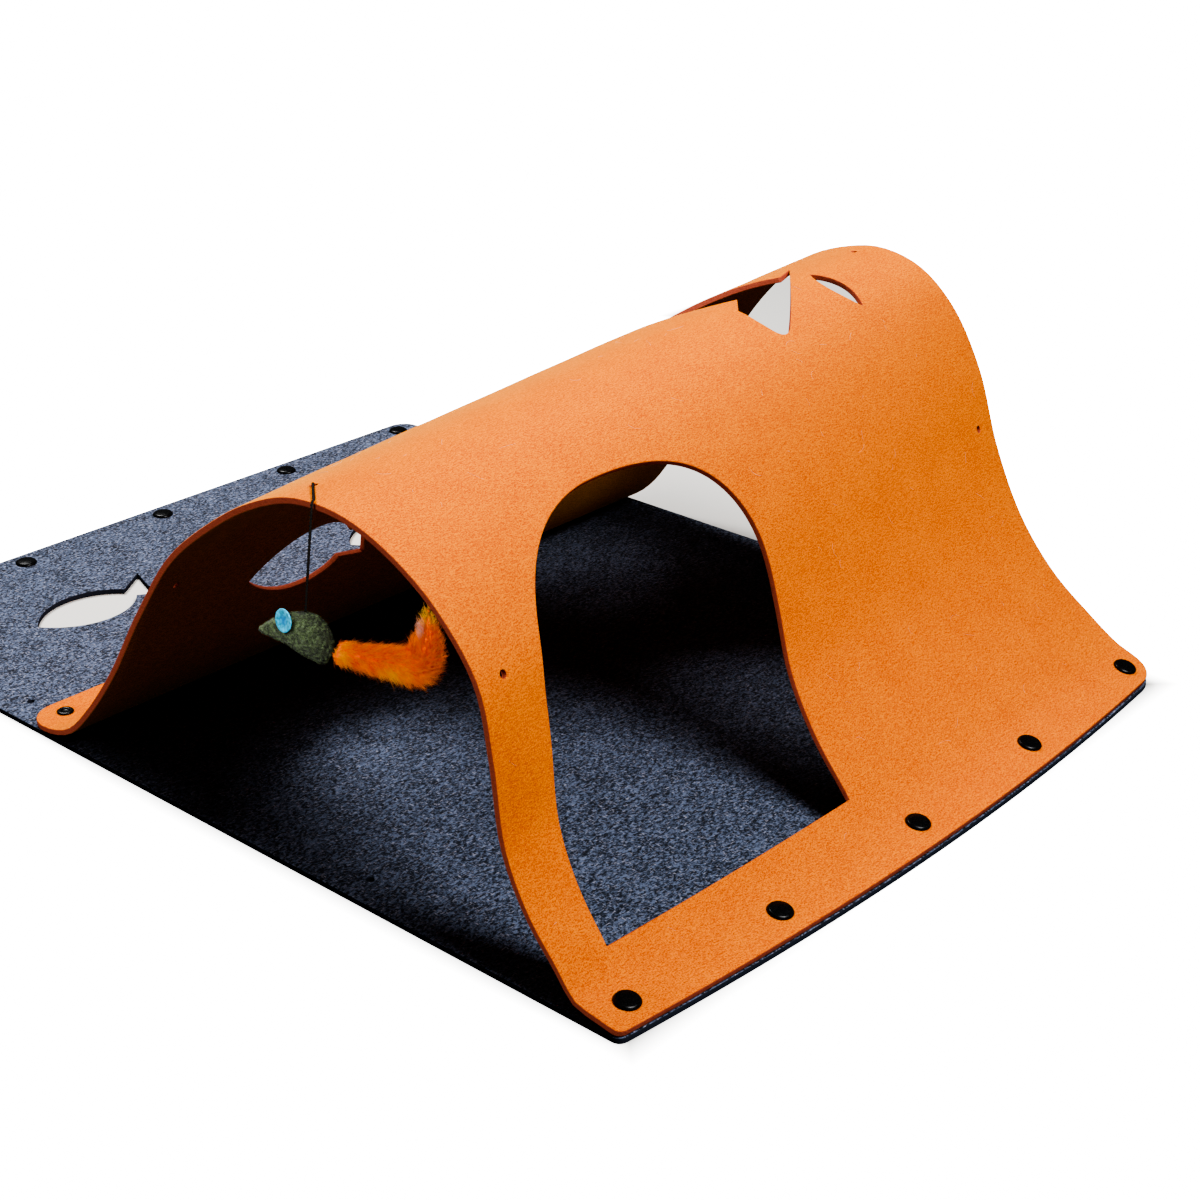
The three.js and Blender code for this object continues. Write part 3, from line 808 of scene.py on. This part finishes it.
class StudioLook(bpy.types.PropertyGroup):
    """Floor and studio light."""

    floor: colour_setting("Floor", "Plain pale floor", (0.8, 0.78, 0.74))
    front: power_setting("Front light", "Power of the soft light from the door side", 52)
    rear: power_setting("Rear light", "Power of the soft light over the rear", 56)
    rim: power_setting("Rim light", "Power of the weak light on the rim of the near mouth", 6)
    toy: power_setting("Toy light", "Power of the light that picks out the toy", 42)
    sky: FloatProperty(
        name="Room light", description="Strength of the room's even light", default=0.05, min=0,
    )


# Operators ---


def assign(piece, *materials):
    for material in materials:
        piece.data.materials.append(material)


class TUNNEL_OT_camera(bpy.types.Operator):
    """Set the camera where the photograph was taken from"""

    bl_idname = "felt_tunnel.camera"
    bl_label = "Camera"

    def execute(self, context):
        azimuth, drop, roll = CAMERA_AZIMUTH, CAMERA_DROP, CAMERA_ROLL
        run, fall = math.cos(drop), math.sin(drop)
        ahead = Vector((run * math.cos(azimuth), run * math.sin(azimuth), -fall))
        level = Vector((math.sin(azimuth), -math.cos(azimuth), 0))
        above = level.cross(ahead)
        right = math.cos(roll) * level + math.sin(roll) * above
        up = math.cos(roll) * above - math.sin(roll) * level
        turn = Matrix((right, up, -ahead)).transposed().to_4x4()
        lens = bpy.data.cameras.new("camera")
        lens.sensor_fit = "HORIZONTAL"
        lens.angle = CAMERA_ANGLE
        lens.clip_end = 100
        camera = bpy.data.objects.new("camera", lens)
        camera.matrix_world = Matrix.Translation(CAMERA_PLACE) @ turn
        context.scene.collection.objects.link(camera)
        context.scene.camera = camera
        return {"FINISHED"}


class TUNNEL_OT_mat(bpy.types.Operator):
    """Cut the flat navy mat with its fish, snap holes and toy holes"""

    bl_idname = "felt_tunnel.mat"
    bl_label = "Mat"

    def execute(self, context):
        look = context.scene.felt_look
        holes = [fish_outline(MAT_FISH), fish_outline(MAT_SECOND_FISH), *toy_holes()]
        seam = outer_points(0, REAR_ROW)[1] + ACROSS_CENTRE
        for front, rear in zip(FRONT_SNAP_ROW, SNAP_ROW):
            place = outer_points(front, SNAP_INSET)[1] + ACROSS_CENTRE
            holes += [circle(front, place, MAT_HOLE), circle(rear, seam, MAT_HOLE)]
            holes.append(circle(rear, REAR_ROW, SNAP_HOLE))
        outlines = [panel_outline(FRONT_BOW, MAT_REAR_CORNER), *holes]
        mesh = felt_panel("mat", outlines, look.rounding / MM)
        flat = coordinates(mesh)
        flat += (0, -ACROSS_CENTRE, FELT_THICKNESS / 2)
        set_coordinates(mesh, flat * MM)
        piece = link("felt_mat", mesh)
        assign(piece, navy_felt(look), felt_edge("felt_navy_edge", look.navy_edge))
        piece.modifiers.new("normals", "WEIGHTED_NORMAL")
        finish_piece(piece, "felt_navy", "base_mat")
        return {"FINISHED"}


class TUNNEL_OT_sheet(bpy.types.Operator):
    """Cut the orange sheet flat and bend it into the arch"""

    bl_idname = "felt_tunnel.sheet"
    bl_label = "Tunnel sheet"

    def execute(self, context):
        look = context.scene.felt_look
        holes = [door_outline(), fish_outline(SHEET_FISH), roof_fish_outline(), leaf_outline()]
        holes += toy_holes()
        holes += [circle(along, SNAP_INSET, SNAP_HOLE) for along in FRONT_SNAP_ROW]
        holes += [circle(along, REAR_ROW, SNAP_HOLE) for along in SNAP_ROW]
        outlines = [panel_outline(0, SHEET_REAR_CORNER), *holes]
        mesh = felt_panel("sheet", outlines, look.rounding / MM)
        along, across, height = coordinates(mesh).T
        free = np.clip((across - FOOT_REACH) / FOOT_FADE, 0, 1)
        free = free * np.clip((PANEL_WIDTH - FOOT_FADE - across) / FOOT_FADE, 0, 1)
        height = height - FELT_THICKNESS / 2 + look.ripple / MM * free * ripple(along, across)
        set_coordinates(mesh, arch_points(along, across, height) * MM)
        piece = link("felt_tunnel", mesh)
        assign(piece, orange_felt(look), felt_edge("felt_orange_edge", look.orange_edge))
        piece.modifiers.new("normals", "WEIGHTED_NORMAL")
        finish_piece(piece, "felt_orange", "tunnel_sheet")
        return {"FINISHED"}


class TUNNEL_OT_fibres(bpy.types.Operator):
    """Lay a few loose pale fibres on the orange felt"""

    bl_idname = "felt_tunnel.fibres"
    bl_label = "Stray fibres"

    def execute(self, context):
        draw = np.random.default_rng(11)
        lines = []
        while len(lines) < context.scene.small_parts_look.stray_fibres:
            along, across = draw.uniform(-315, 315), draw.uniform(30, 800)
            heading, bend = draw.uniform(0, 2 * math.pi), draw.normal(0, 0.12)
            long = draw.uniform(3, 15)
            if -300 < along < 0 and 40 < across < 345 or across > 560 and along < -60:
                continue
            turn = heading + bend * np.arange(9)
            step = long / 8
            x = along + np.cumsum(np.cos(turn)) * step
            y = across + np.cumsum(np.sin(turn)) * step
            height = 0.15 + 0.5 * draw.random() * np.linspace(0, 1, 9) ** 2
            if np.abs(x).max() > 320:
                continue
            lines.append(arch_points(x, np.clip(y, 5, 855), height) * MM)
        shape = dict(dimensions="3D", bevel_depth=0.00007, bevel_resolution=0)
        piece = link("stray_fibres", curve_mesh("fibres", lines, False, **shape))
        finish = Finish("pale_fibre", Roughness=0.8)
        shade = finish.noise(finish.place(False), 90, 1.0)
        colour = finish.mix(shade, opaque((0.95, 0.6, 0.3)), opaque((1.0, 0.9, 0.75)))
        finish.set(Base_Color=colour)
        assign(piece, finish.material)
        finish_piece(piece, "felt_orange")
        return {"FINISHED"}


class TUNNEL_OT_snaps(bpy.types.Operator):
    """Press in the three rows of black snap fasteners"""

    bl_idname = "felt_tunnel.snaps"
    bl_label = "Snaps"

    def execute(self, context):
        gloss = snap_gloss(context.scene.small_parts_look)
        for index, (front, rear) in enumerate(zip(FRONT_SNAP_ROW, SNAP_ROW), 1):
            on_front, on_rear = (front, SNAP_INSET), (rear, REAR_ROW)
            front_place = upright_at(outer_points(*on_front), outer_normals(*on_front))
            rear_place = upright_at(outer_points(*on_rear), outer_normals(*on_rear))
            mat_place = upright_at((rear, REAR_ROW - ACROSS_CENTRE, FELT_THICKNESS), (0, 0, 1))
            for name, node, head, post, place in (
                ("front_cap", "front_snap", CAP_PROFILE, SHEET_POST, front_place),
                ("rear_ring", "rear_snap", RING_PROFILE, SHEET_POST, rear_place),
                ("mat_cap", "mat_snap", CAP_PROFILE, MAT_POST, mat_place),
            ):
                profile = (*head, (POST_RADIUS, -post), (0, -post))
                piece = to_piece(f"{name}_{index}", spun(profile), place)
                assign(piece, gloss)
                finish_piece(piece, "snap_black", f"{node}_{index}")
        return {"FINISHED"}


TOY_HOLE_PLACE = (TOY_HOLE_INSET - HALF_LENGTH, PANEL_WIDTH / 2)


def above_sheet(share):
    """A point of the cord on the sheet, at that share of its run from the hole to the rim."""
    along, across = TOY_HOLE_PLACE
    along += -TOY_HOLE_INSET * share
    across += (CORD_RIM_ACROSS - PANEL_WIDTH / 2) * share
    return arch_points(along, across, CORD_CLEARANCE)


def cord_route():
    """Points down the middle of the cord, in millimetres, from its knot to the toy."""
    below, inside = (arch_points(*TOY_HOLE_PLACE, height) for height in (-FELT_THICKNESS, -1.0))
    leaves, straight, before = above_sheet(0.14), above_sheet(0.55), above_sheet(0.95)
    corner = above_sheet(1) - (CORD_CLEARANCE, 0, 0)
    hang = np.array(CORD_HANG)
    after = corner + hang * CORD_RIM_TURN
    points = [below]

    for steps, *controls in (
        (6, inside), (8, above_sheet(0), leaves), (16, straight), (14, before),
        (10, corner, after), (120, corner + hang),
    ):
        points += bezier([points[-1], *controls], steps)
    return np.array(points)


def toy_frame():
    """The toy's own axes in the row frame, in millimetres."""
    end = Vector(cord_route()[-1]) + Vector((0, 0, TOY_LIFT))
    return Matrix.Translation(end) @ Matrix.Rotation(TOY_TURN, 4, "Z")


def plies(route, offset, pitch, phase):
    """A line that winds round the route at an offset, with one turn a pitch."""
    ahead = np.gradient(route, axis=0)
    ahead /= np.linalg.norm(ahead, axis=1, keepdims=True)
    side = np.cross(ahead[0], (0.3, 0.9, 0.2))
    run, wound = 0.0, []
    for k, point in enumerate(route):
        if k:
            run += np.linalg.norm(point - route[k - 1])
        side = side - ahead[k] * (side @ ahead[k])
        side /= np.linalg.norm(side)
        other = np.cross(ahead[k], side)
        turn = 2 * math.pi * run / pitch + phase
        wound.append(point + offset * (math.cos(turn) * side + math.sin(turn) * other))
    return np.array(wound)


def evenly(route, step):
    run = np.concatenate([[0], np.cumsum(np.linalg.norm(np.diff(route, axis=0), axis=1))])
    at = np.linspace(0, run[-1], int(run[-1] / step) + 1)
    return np.stack([np.interp(at, run, route[:, k]) for k in range(3)], axis=1), run[-1]


class TUNNEL_OT_cord(bpy.types.Operator):
    """Lay the twisted cord from its knot over the rim to the toy"""

    bl_idname = "felt_tunnel.cord"
    bl_label = "Cord and knot"

    def execute(self, context):
        look = context.scene.small_parts_look
        width = look.cord_width / MM
        route, long = evenly(cord_route(), 0.4)
        thread = cord_thread(look)
        lines = [plies(route, width * 0.22, width * 2.3, phase) * MM for phase in (0, math.pi)]
        shape = dict(
            dimensions="3D", bevel_depth=width * 0.28 * MM, bevel_resolution=2, use_fill_caps=True,
        )
        piece = link("cord", curve_mesh("cord", lines, False, **shape))
        assign(piece, thread)
        finish_piece(piece, "cord_black", "toy_cord")
        turns = np.linspace(0, 2 * math.pi, 90, endpoint=False)
        ring = np.stack([
            np.sin(turns) + 2 * np.sin(2 * turns),
            np.cos(turns) - 2 * np.cos(2 * turns),
            -np.sin(3 * turns),
        ], axis=1) * KNOT_HALF
        middle = arch_points(*TOY_HOLE_PLACE, -FELT_THICKNESS - KNOT_DEPTH)
        place = upright_at(middle, outer_normals(*TOY_HOLE_PLACE))
        knot_line = [tuple(place @ Vector(point) * MM) for point in ring]
        shape["bevel_depth"] = KNOT_THREAD * MM
        knot = link("cord_end_knot", curve_mesh("knot", [knot_line], True, **shape))
        assign(knot, thread)
        finish_piece(knot, "cord_black", "cord_knot")
        return {"FINISHED"}


# Fur ---


def triangles_of(mesh):
    mesh.calc_loop_triangles()
    corners = np.zeros(len(mesh.loop_triangles) * 3, np.int32)
    mesh.loop_triangles.foreach_get("vertices", corners)
    points = coordinates(mesh)
    return points[corners.reshape(-1, 3)]


def roots_on(mesh, count, draw):
    """Points spread evenly over a mesh, with the way out at each."""
    corners = triangles_of(mesh)
    a, b, c = corners[:, 0], corners[:, 1], corners[:, 2]
    cross = np.cross(b - a, c - a)
    size = np.linalg.norm(cross, axis=1)
    pick = draw.choice(len(size), count, p=size / size.sum())
    u, v = draw.random((2, count, 1))
    u, v = np.where(u + v > 1, 1 - u, u), np.where(u + v > 1, 1 - v, v)
    return a[pick] + u * (b - a)[pick] + v * (c - a)[pick], cross[pick] / size[pick, None]


def unit(rows):
    return rows / np.maximum(np.linalg.norm(rows, axis=1, keepdims=True), 1e-9)


def strand_shape(segments):
    """One upright hair as a three-sided cone: its rings, from a bmesh cone cut into segments."""
    shape = bmesh.new()
    bmesh.ops.create_cone(shape, cap_ends=True, segments=3, radius1=1, radius2=0.18, depth=1)
    bmesh.ops.translate(shape, vec=(0, 0, 0.5), verts=shape.verts)
    for k in range(1, segments):
        slice_shape(shape, (0, 0, k / segments), (0, 0, 1), 1e-5)
    bmesh.ops.triangulate(shape, faces=shape.faces)
    bmesh.ops.recalc_face_normals(shape, faces=shape.faces)
    shape.verts.index_update()
    points = np.array([tuple(v.co) for v in shape.verts])
    faces = np.array([[v.index for v in face.verts] for face in shape.faces])
    shape.free()
    return points, faces


def grow(name, roots, start, end, long, thick, tints, segments):
    """Hairs on the roots that set off along start and bend round to end, each with its tint."""
    points, faces = strand_shape(segments)
    count, rings = len(roots), points[:, 2]
    side = unit(np.cross(start, end + 0.01 * np.roll(start, 1, axis=1)))
    other = unit(np.cross(start, side))
    up, bend = rings[None, :, None], (rings**2)[None, :, None]
    way = start[:, None] * up + (end - start)[:, None] * bend / 2
    spots = roots[:, None] + way * long[:, None, None]
    spots += side[:, None] * points[None, :, 0, None] * thick[:, None, None]
    spots += other[:, None] * points[None, :, 1, None] * thick[:, None, None]
    mesh = bpy.data.meshes.new(name)
    mesh.vertices.add(count * len(points))
    mesh.vertices.foreach_set("co", spots.astype(np.float32).ravel())
    corners = (faces[None] + (np.arange(count) * len(points))[:, None, None]).astype(np.int32)
    mesh.loops.add(corners.size)
    mesh.loops.foreach_set("vertex_index", corners.ravel())
    mesh.polygons.add(corners.size // 3)
    mesh.polygons.foreach_set("loop_start", np.arange(0, corners.size, 3, dtype=np.int32))
    mesh.update(calc_edges=True)
    mesh.validate()
    tint = mesh.color_attributes.new("tint", "FLOAT_COLOR", "POINT")
    base, tip = tints
    shades = base[:, None] + (tip - base)[:, None] * rings[None, :, None]
    rows = np.concatenate([shades, np.ones((*shades.shape[:2], 1))], axis=2)
    tint.data.foreach_set("color", rows.astype(np.float32).ravel())
    return link(name, mesh)


def in_toy(points):
    """Row-frame points, in metres, as toy coordinates in millimetres."""
    inverse = np.array(toy_frame().inverted())
    return points / MM @ inverse[:3, :3].T + inverse[:3, 3]


def out_of_toy(points):
    """Toy coordinates in millimetres as row-frame points, in metres."""
    matrix = np.array(toy_frame())
    return (points @ matrix[:3, :3].T + matrix[:3, 3]) * MM


def toy_way(rows):
    return rows @ np.array(toy_frame())[:3, :3].T


def core_piece(name, node, shrink, levels):
    """A smoothed copy of a toy part's solid, drawn in a little under its hair."""
    shape = copy_of_node(node)
    axes = dict(use_axis_x=True, use_axis_y=True, use_axis_z=True)
    bmesh.ops.smooth_vert(shape, verts=shape.verts, factor=0.3, **axes)
    shape.normal_update()
    for vert in shape.verts:
        vert.co -= vert.normal * shrink * MM
    smooth_faces(shape)
    mesh = bpy.data.meshes.new(name)
    shape.to_mesh(mesh)
    shape.free()
    piece = link(name, mesh)
    smooth = piece.modifiers.new("smooth", "SUBSURF")
    smooth.levels = smooth.render_levels = levels
    return piece


class TUNNEL_OT_mouse(bpy.types.Operator):
    """Make the mouse's olive body with its short pile, and its felt ears"""

    bl_idname = "felt_tunnel.mouse"
    bl_label = "Mouse body and ears"

    def execute(self, context):
        look = context.scene.small_parts_look
        body = core_piece("mouse_plush", "mouse_body", 0.5, 2)
        local = in_toy(coordinates(body.data))
        rear = np.clip((local[:, 0] - RUMP_START) / 14, 0, 1)
        axis = np.interp(local[:, 0], BODY_ALONG, BODY_UP)
        below = np.clip((axis - local[:, 2]) / 8, 0, 1)
        local[:, 2] -= HAUNCH_DROP * rear * below
        shorter = RUMP_SHORTER * np.clip(local[:, 0] / RUMP_LENGTH, 0, 1)
        local[:, 0] -= shorter * (1 - 0.8 * below)
        set_coordinates(body.data, out_of_toy(local))
        assign(body, plush(look))
        finish_piece(body, "plush_olive", "mouse_body")
        draw = np.random.default_rng(3)
        count = look.body_hairs
        roots, out = roots_on(body.data, count, draw)
        back = toy_way(np.array([[0.9, 0, -0.35]]))
        start = unit(out * 0.8 + back * 0.5 + draw.normal(0, 0.45, (count, 3)))
        end = unit(out * 0.25 + back * 0.8 + draw.normal(0, 0.5, (count, 3)))
        tufts = np.sin(np.floor(in_toy(roots) / TUFT) @ np.array([12.9, 78.2, 37.7])) * 437.5 % 1
        tufts = (tufts * len(TUFT_SHADES)).astype(int)
        shade = np.choose(tufts, TUFT_SHADES)[:, None] * np.array(look.olive)
        long, thick = draw.uniform(0.8, 1.7, count) * MM, draw.uniform(0.1, 0.17, count) * MM
        pile = grow("mouse_pile", roots, start, end, long, thick, (shade * 0.7, shade * 1.4), 2)
        assign(pile, tinted("plush_hair", 0.9, 0.2, 800))
        finish_piece(pile, "plush_olive")
        for side, place, facing in EARS:
            self.ear(look, side, place, facing)
        return {"FINISHED"}

    def ear(self, look, side, place, facing):
        shape = bmesh.new()
        bmesh.ops.create_cone(
            shape, cap_ends=True, segments=32, radius1=EAR_RADIUS, radius2=EAR_RADIUS,
            depth=EAR_THICKNESS,
        )
        rim = [edge for edge in shape.edges if abs(edge.verts[0].co.z - edge.verts[1].co.z) < 0.01]
        bmesh.ops.bevel(
            shape, geom=rim, offset=0.35, segments=2, profile=0.5, affect="EDGES", material=-1,
        )
        caps = [face for face in shape.faces if len(face.verts) > 8]
        for width in (2.0, 2.4):
            bmesh.ops.inset_region(shape, faces=caps, thickness=width, depth=0)
        for vert in shape.verts:
            reach = vert.co.xy.length / EAR_RADIUS
            uneven = 0.12 * math.sin(5 * vert.co.x) * math.cos(4 * vert.co.y)
            vert.co.z += 0.9 * (reach**2 - 0.4) + uneven
        smooth_faces(shape)
        turn = turned_up(Vector(facing).normalized())
        matrix = toy_frame() @ Matrix.Translation(place) @ turn
        piece = to_piece(f"ear_{side}", shape, matrix)
        assign(piece, ear_felt(look, tuple(matrix.translation * MM)))
        finish_piece(piece, "felt_cyan", f"mouse_ear_{side}")


class TUNNEL_OT_tail(bpy.types.Operator):
    """Make the mouse's long orange fur tail"""

    bl_idname = "felt_tunnel.tail"
    bl_label = "Fur tail"

    def execute(self, context):
        look = context.scene.small_parts_look
        core = core_piece("mouse_tail_core", "mouse_tail", 4.2, 1)
        finish = Finish("fur_core", Roughness=0.95, Specular_IOR_Level=0.1)
        shade = finish.noise(finish.place(False), 500, 3.0)
        colour = finish.mix(shade, opaque((0.9, 0.05, 0.001)), opaque((1.0, 0.22, 0.006)))
        finish.set(Base_Color=colour)
        finish.bump(shade, 0.002, 1.0)
        assign(core, finish.material)
        local = in_toy(coordinates(core.data))
        upper = np.clip((local[:, 2] - TAIL_MIDDLE) / 6, -1, 1)
        root = np.clip(1 - (local[:, 0] - TAIL_START) / TAIL_REACH, 0, 1)
        local[:, 0] -= TAIL_LONGER * root * (1 + 0.5 * upper)
        set_coordinates(core.data, out_of_toy(local))
        finish_piece(core, "fur_orange", "mouse_tail")
        draw = np.random.default_rng(5)
        count = look.tail_hairs
        roots, out = roots_on(core.data, count, draw)
        local = in_toy(roots)
        line = np.array(TAIL_LINE)
        centres = np.stack([line[:, 0], 0 * line[:, 0], line[:, 1]], axis=1)
        nearest = ((local[:, None] - centres[None]) ** 2).sum(axis=2).argmin(axis=1)
        ahead = toy_way(unit(np.gradient(centres, axis=0)))[nearest]
        radius = line[nearest, 2]
        clumps = np.sin(local @ np.array([0.9, 1.1, 0.7]))
        clumps += np.sin(local @ np.array([-0.5, 0.8, 1.3]) + 2)
        start = unit(out * 0.9 + ahead * 0.55 + draw.normal(0, 0.28, (count, 3)))
        down = np.array([[0, 0, -0.22]])
        end = unit(out * 0.25 + ahead * 1.0 + down + draw.normal(0, 0.3, (count, 3)))
        long = (0.42 * radius + draw.uniform(2.0, 6.5, count) + 0.6 * clumps) * MM
        long *= np.where(local[:, 0] > TAIL_TIP, 0.7, 1)
        thick = draw.uniform(0.09, 0.17, count) * MM
        tints = self.tints(draw, local, clumps, count)
        fur = grow("tail_fur", roots, start, end, np.maximum(long, 0.002), thick, tints, 3)
        assign(fur, tinted("fur_hair", 0.85, 0.03, 600))
        finish_piece(fur, "fur_orange")
        return {"FINISHED"}

    def tints(self, draw, local, clumps, count):
        """Base and tip of each hair: orange, redder in places, with patches of painted highlight in
        yellow and grey-white.
        """
        red, orange = np.array(FUR_RED), np.array(FUR_ORANGE)
        share = np.clip(0.5 + 0.6 * clumps + draw.normal(0, 0.25, count), 0, 1)[:, None]
        base = red + (orange - red) * share
        tip = base + (orange * 1.05 - base) * 0.6
        # Painted highlights: yellow and grey-white tints laid over the hairs near each patch
        for centre, reach, strength, colour in FUR_HIGHLIGHT_PATCHES:
            far = np.linalg.norm((local - np.array(centre)) / np.array(reach), axis=1)
            amount = np.clip(1.2 - far, 0, 1) * strength * draw.uniform(0.3, 1, count)
            amount = np.clip(amount, 0, 1)[:, None]
            base = base + (np.array(colour) - base) * amount
            tip = tip + (np.array(colour) * 1.15 - tip) * amount
        return base, np.clip(tip * 1.1, 0, 1)


class TUNNEL_OT_studio(bpy.types.Operator):
    """Set the plain pale floor, with its distant walls, and the soft studio light"""

    bl_idname = "felt_tunnel.studio"
    bl_label = "Floor and light"

    def execute(self, context):
        look = context.scene.studio_look
        shape = bmesh.new()
        bmesh.ops.create_grid(shape, x_segments=1, y_segments=1, size=FLOOR_HALF)
        walls = bmesh.ops.extrude_edge_only(shape, edges=shape.edges[:])["geom"]
        tops = [part for part in walls if isinstance(part, bmesh.types.BMVert)]
        bmesh.ops.translate(shape, vec=(0, 0, WALL_HEIGHT), verts=tops)
        bmesh.ops.translate(shape, vec=(0, 0, -FLOOR_GAP), verts=shape.verts)
        mesh = bpy.data.meshes.new("floor")
        shape.to_mesh(mesh)
        shape.free()
        floor = link("floor", mesh)
        floor.visible_diffuse = False
        floor.visible_glossy = False
        finish = Finish(
            "pale_floor", Roughness=0.6, Base_Color=opaque(look.floor),
            Emission_Strength=FLOOR_GLOW,
        )
        place = finish.place(False)
        under = None
        for middle, half in UNLIT_FLOOR:
            reach = self.vector(finish, "SUBTRACT", place, (*middle, 0))
            reach = self.vector(finish, "ABSOLUTE", reach)
            reach = self.vector(finish, "SUBTRACT", reach, (*half, 0))
            across, deep = (
                finish.node("ShaderNodeSeparateXYZ", None, {0: reach}, output=k) for k in (0, 1)
            )
            beyond = across.math("MAXIMUM", across, deep)
            under = beyond if under is None else under.math("MINIMUM", under, beyond)
        glow = finish.steps(under, 0.0, GLOW_FADE)
        finish.set(Emission_Color=finish.mix(glow, opaque((0, 0, 0)), opaque((1, 1, 1))))
        finish.material.cycles.emission_sampling = "NONE"
        assign(floor, finish.material)
        for name, place, width, lit_names in LIGHTS:
            data = bpy.data.lights.new(name, "AREA")
            data.energy, data.size, data.shape = getattr(look, name), width, "DISK"
            lamp = bpy.data.objects.new(name, data)
            turn = Vector(place).to_track_quat("Z", "Y").to_matrix().to_4x4()
            lamp.matrix_world = Matrix.Translation(place) @ turn
            context.scene.collection.objects.link(lamp)
            if lit_names:
                lit = bpy.data.collections.new(f"lit_by_{name}_light")
                for piece in context.scene.objects:
                    if piece.name.startswith(lit_names):
                        lit.objects.link(piece)
                lamp.light_linking.receiver_collection = lit
        world = bpy.data.worlds.new("room")
        world.use_nodes = True
        context.scene.world = world
        shade = world.node_tree.nodes["Background"]
        shade.inputs["Color"].default_value = opaque((1, 1, 1))
        shade.inputs["Strength"].default_value = look.sky
        context.scene.view_settings.view_transform = "AgX"
        context.scene.view_settings.look = "AgX - High Contrast"
        return {"FINISHED"}

    def vector(self, finish, operation, *values):
        settings = {"operation": operation}
        return finish.node("ShaderNodeVectorMath", settings, dict(enumerate(values)))


class TUNNEL_PT_panel(bpy.types.Panel):
    """Lists the tunnel's operators and settings"""

    bl_idname = "TUNNEL_PT_panel"
    bl_label = "Felt tunnel"
    bl_space_type = "VIEW_3D"
    bl_region_type = "UI"
    bl_category = "Felt tunnel"

    def draw(self, context):
        for operator in OPERATORS:
            self.layout.operator(operator.bl_idname)
        for name in SETTINGS:
            group = getattr(context.scene, name)
            for key in group.bl_rna.properties.keys():
                if key not in ("name", "rna_type"):
                    self.layout.prop(group, key)


OPERATORS = (
    TUNNEL_OT_camera, TUNNEL_OT_cord, TUNNEL_OT_mat, TUNNEL_OT_sheet, TUNNEL_OT_fibres,
    TUNNEL_OT_snaps, TUNNEL_OT_mouse, TUNNEL_OT_tail, TUNNEL_OT_studio,
)
SETTINGS = {"felt_look": FeltLook, "small_parts_look": SmallPartsLook, "studio_look": StudioLook}


def register():
    for item in (*SETTINGS.values(), *OPERATORS, TUNNEL_PT_panel):
        bpy.utils.register_class(item)
    for name, group in SETTINGS.items():
        setattr(bpy.types.Scene, name, PointerProperty(type=group))


def unregister():
    for name in SETTINGS:
        delattr(bpy.types.Scene, name)
    for item in reversed((*SETTINGS.values(), *OPERATORS, TUNNEL_PT_panel)):
        bpy.utils.unregister_class(item)


def main():
    register()
    for operator in OPERATORS:
        group, name = operator.bl_idname.split(".")
        getattr(getattr(bpy.ops, group), name)()


if __name__ == "__main__":
    main()
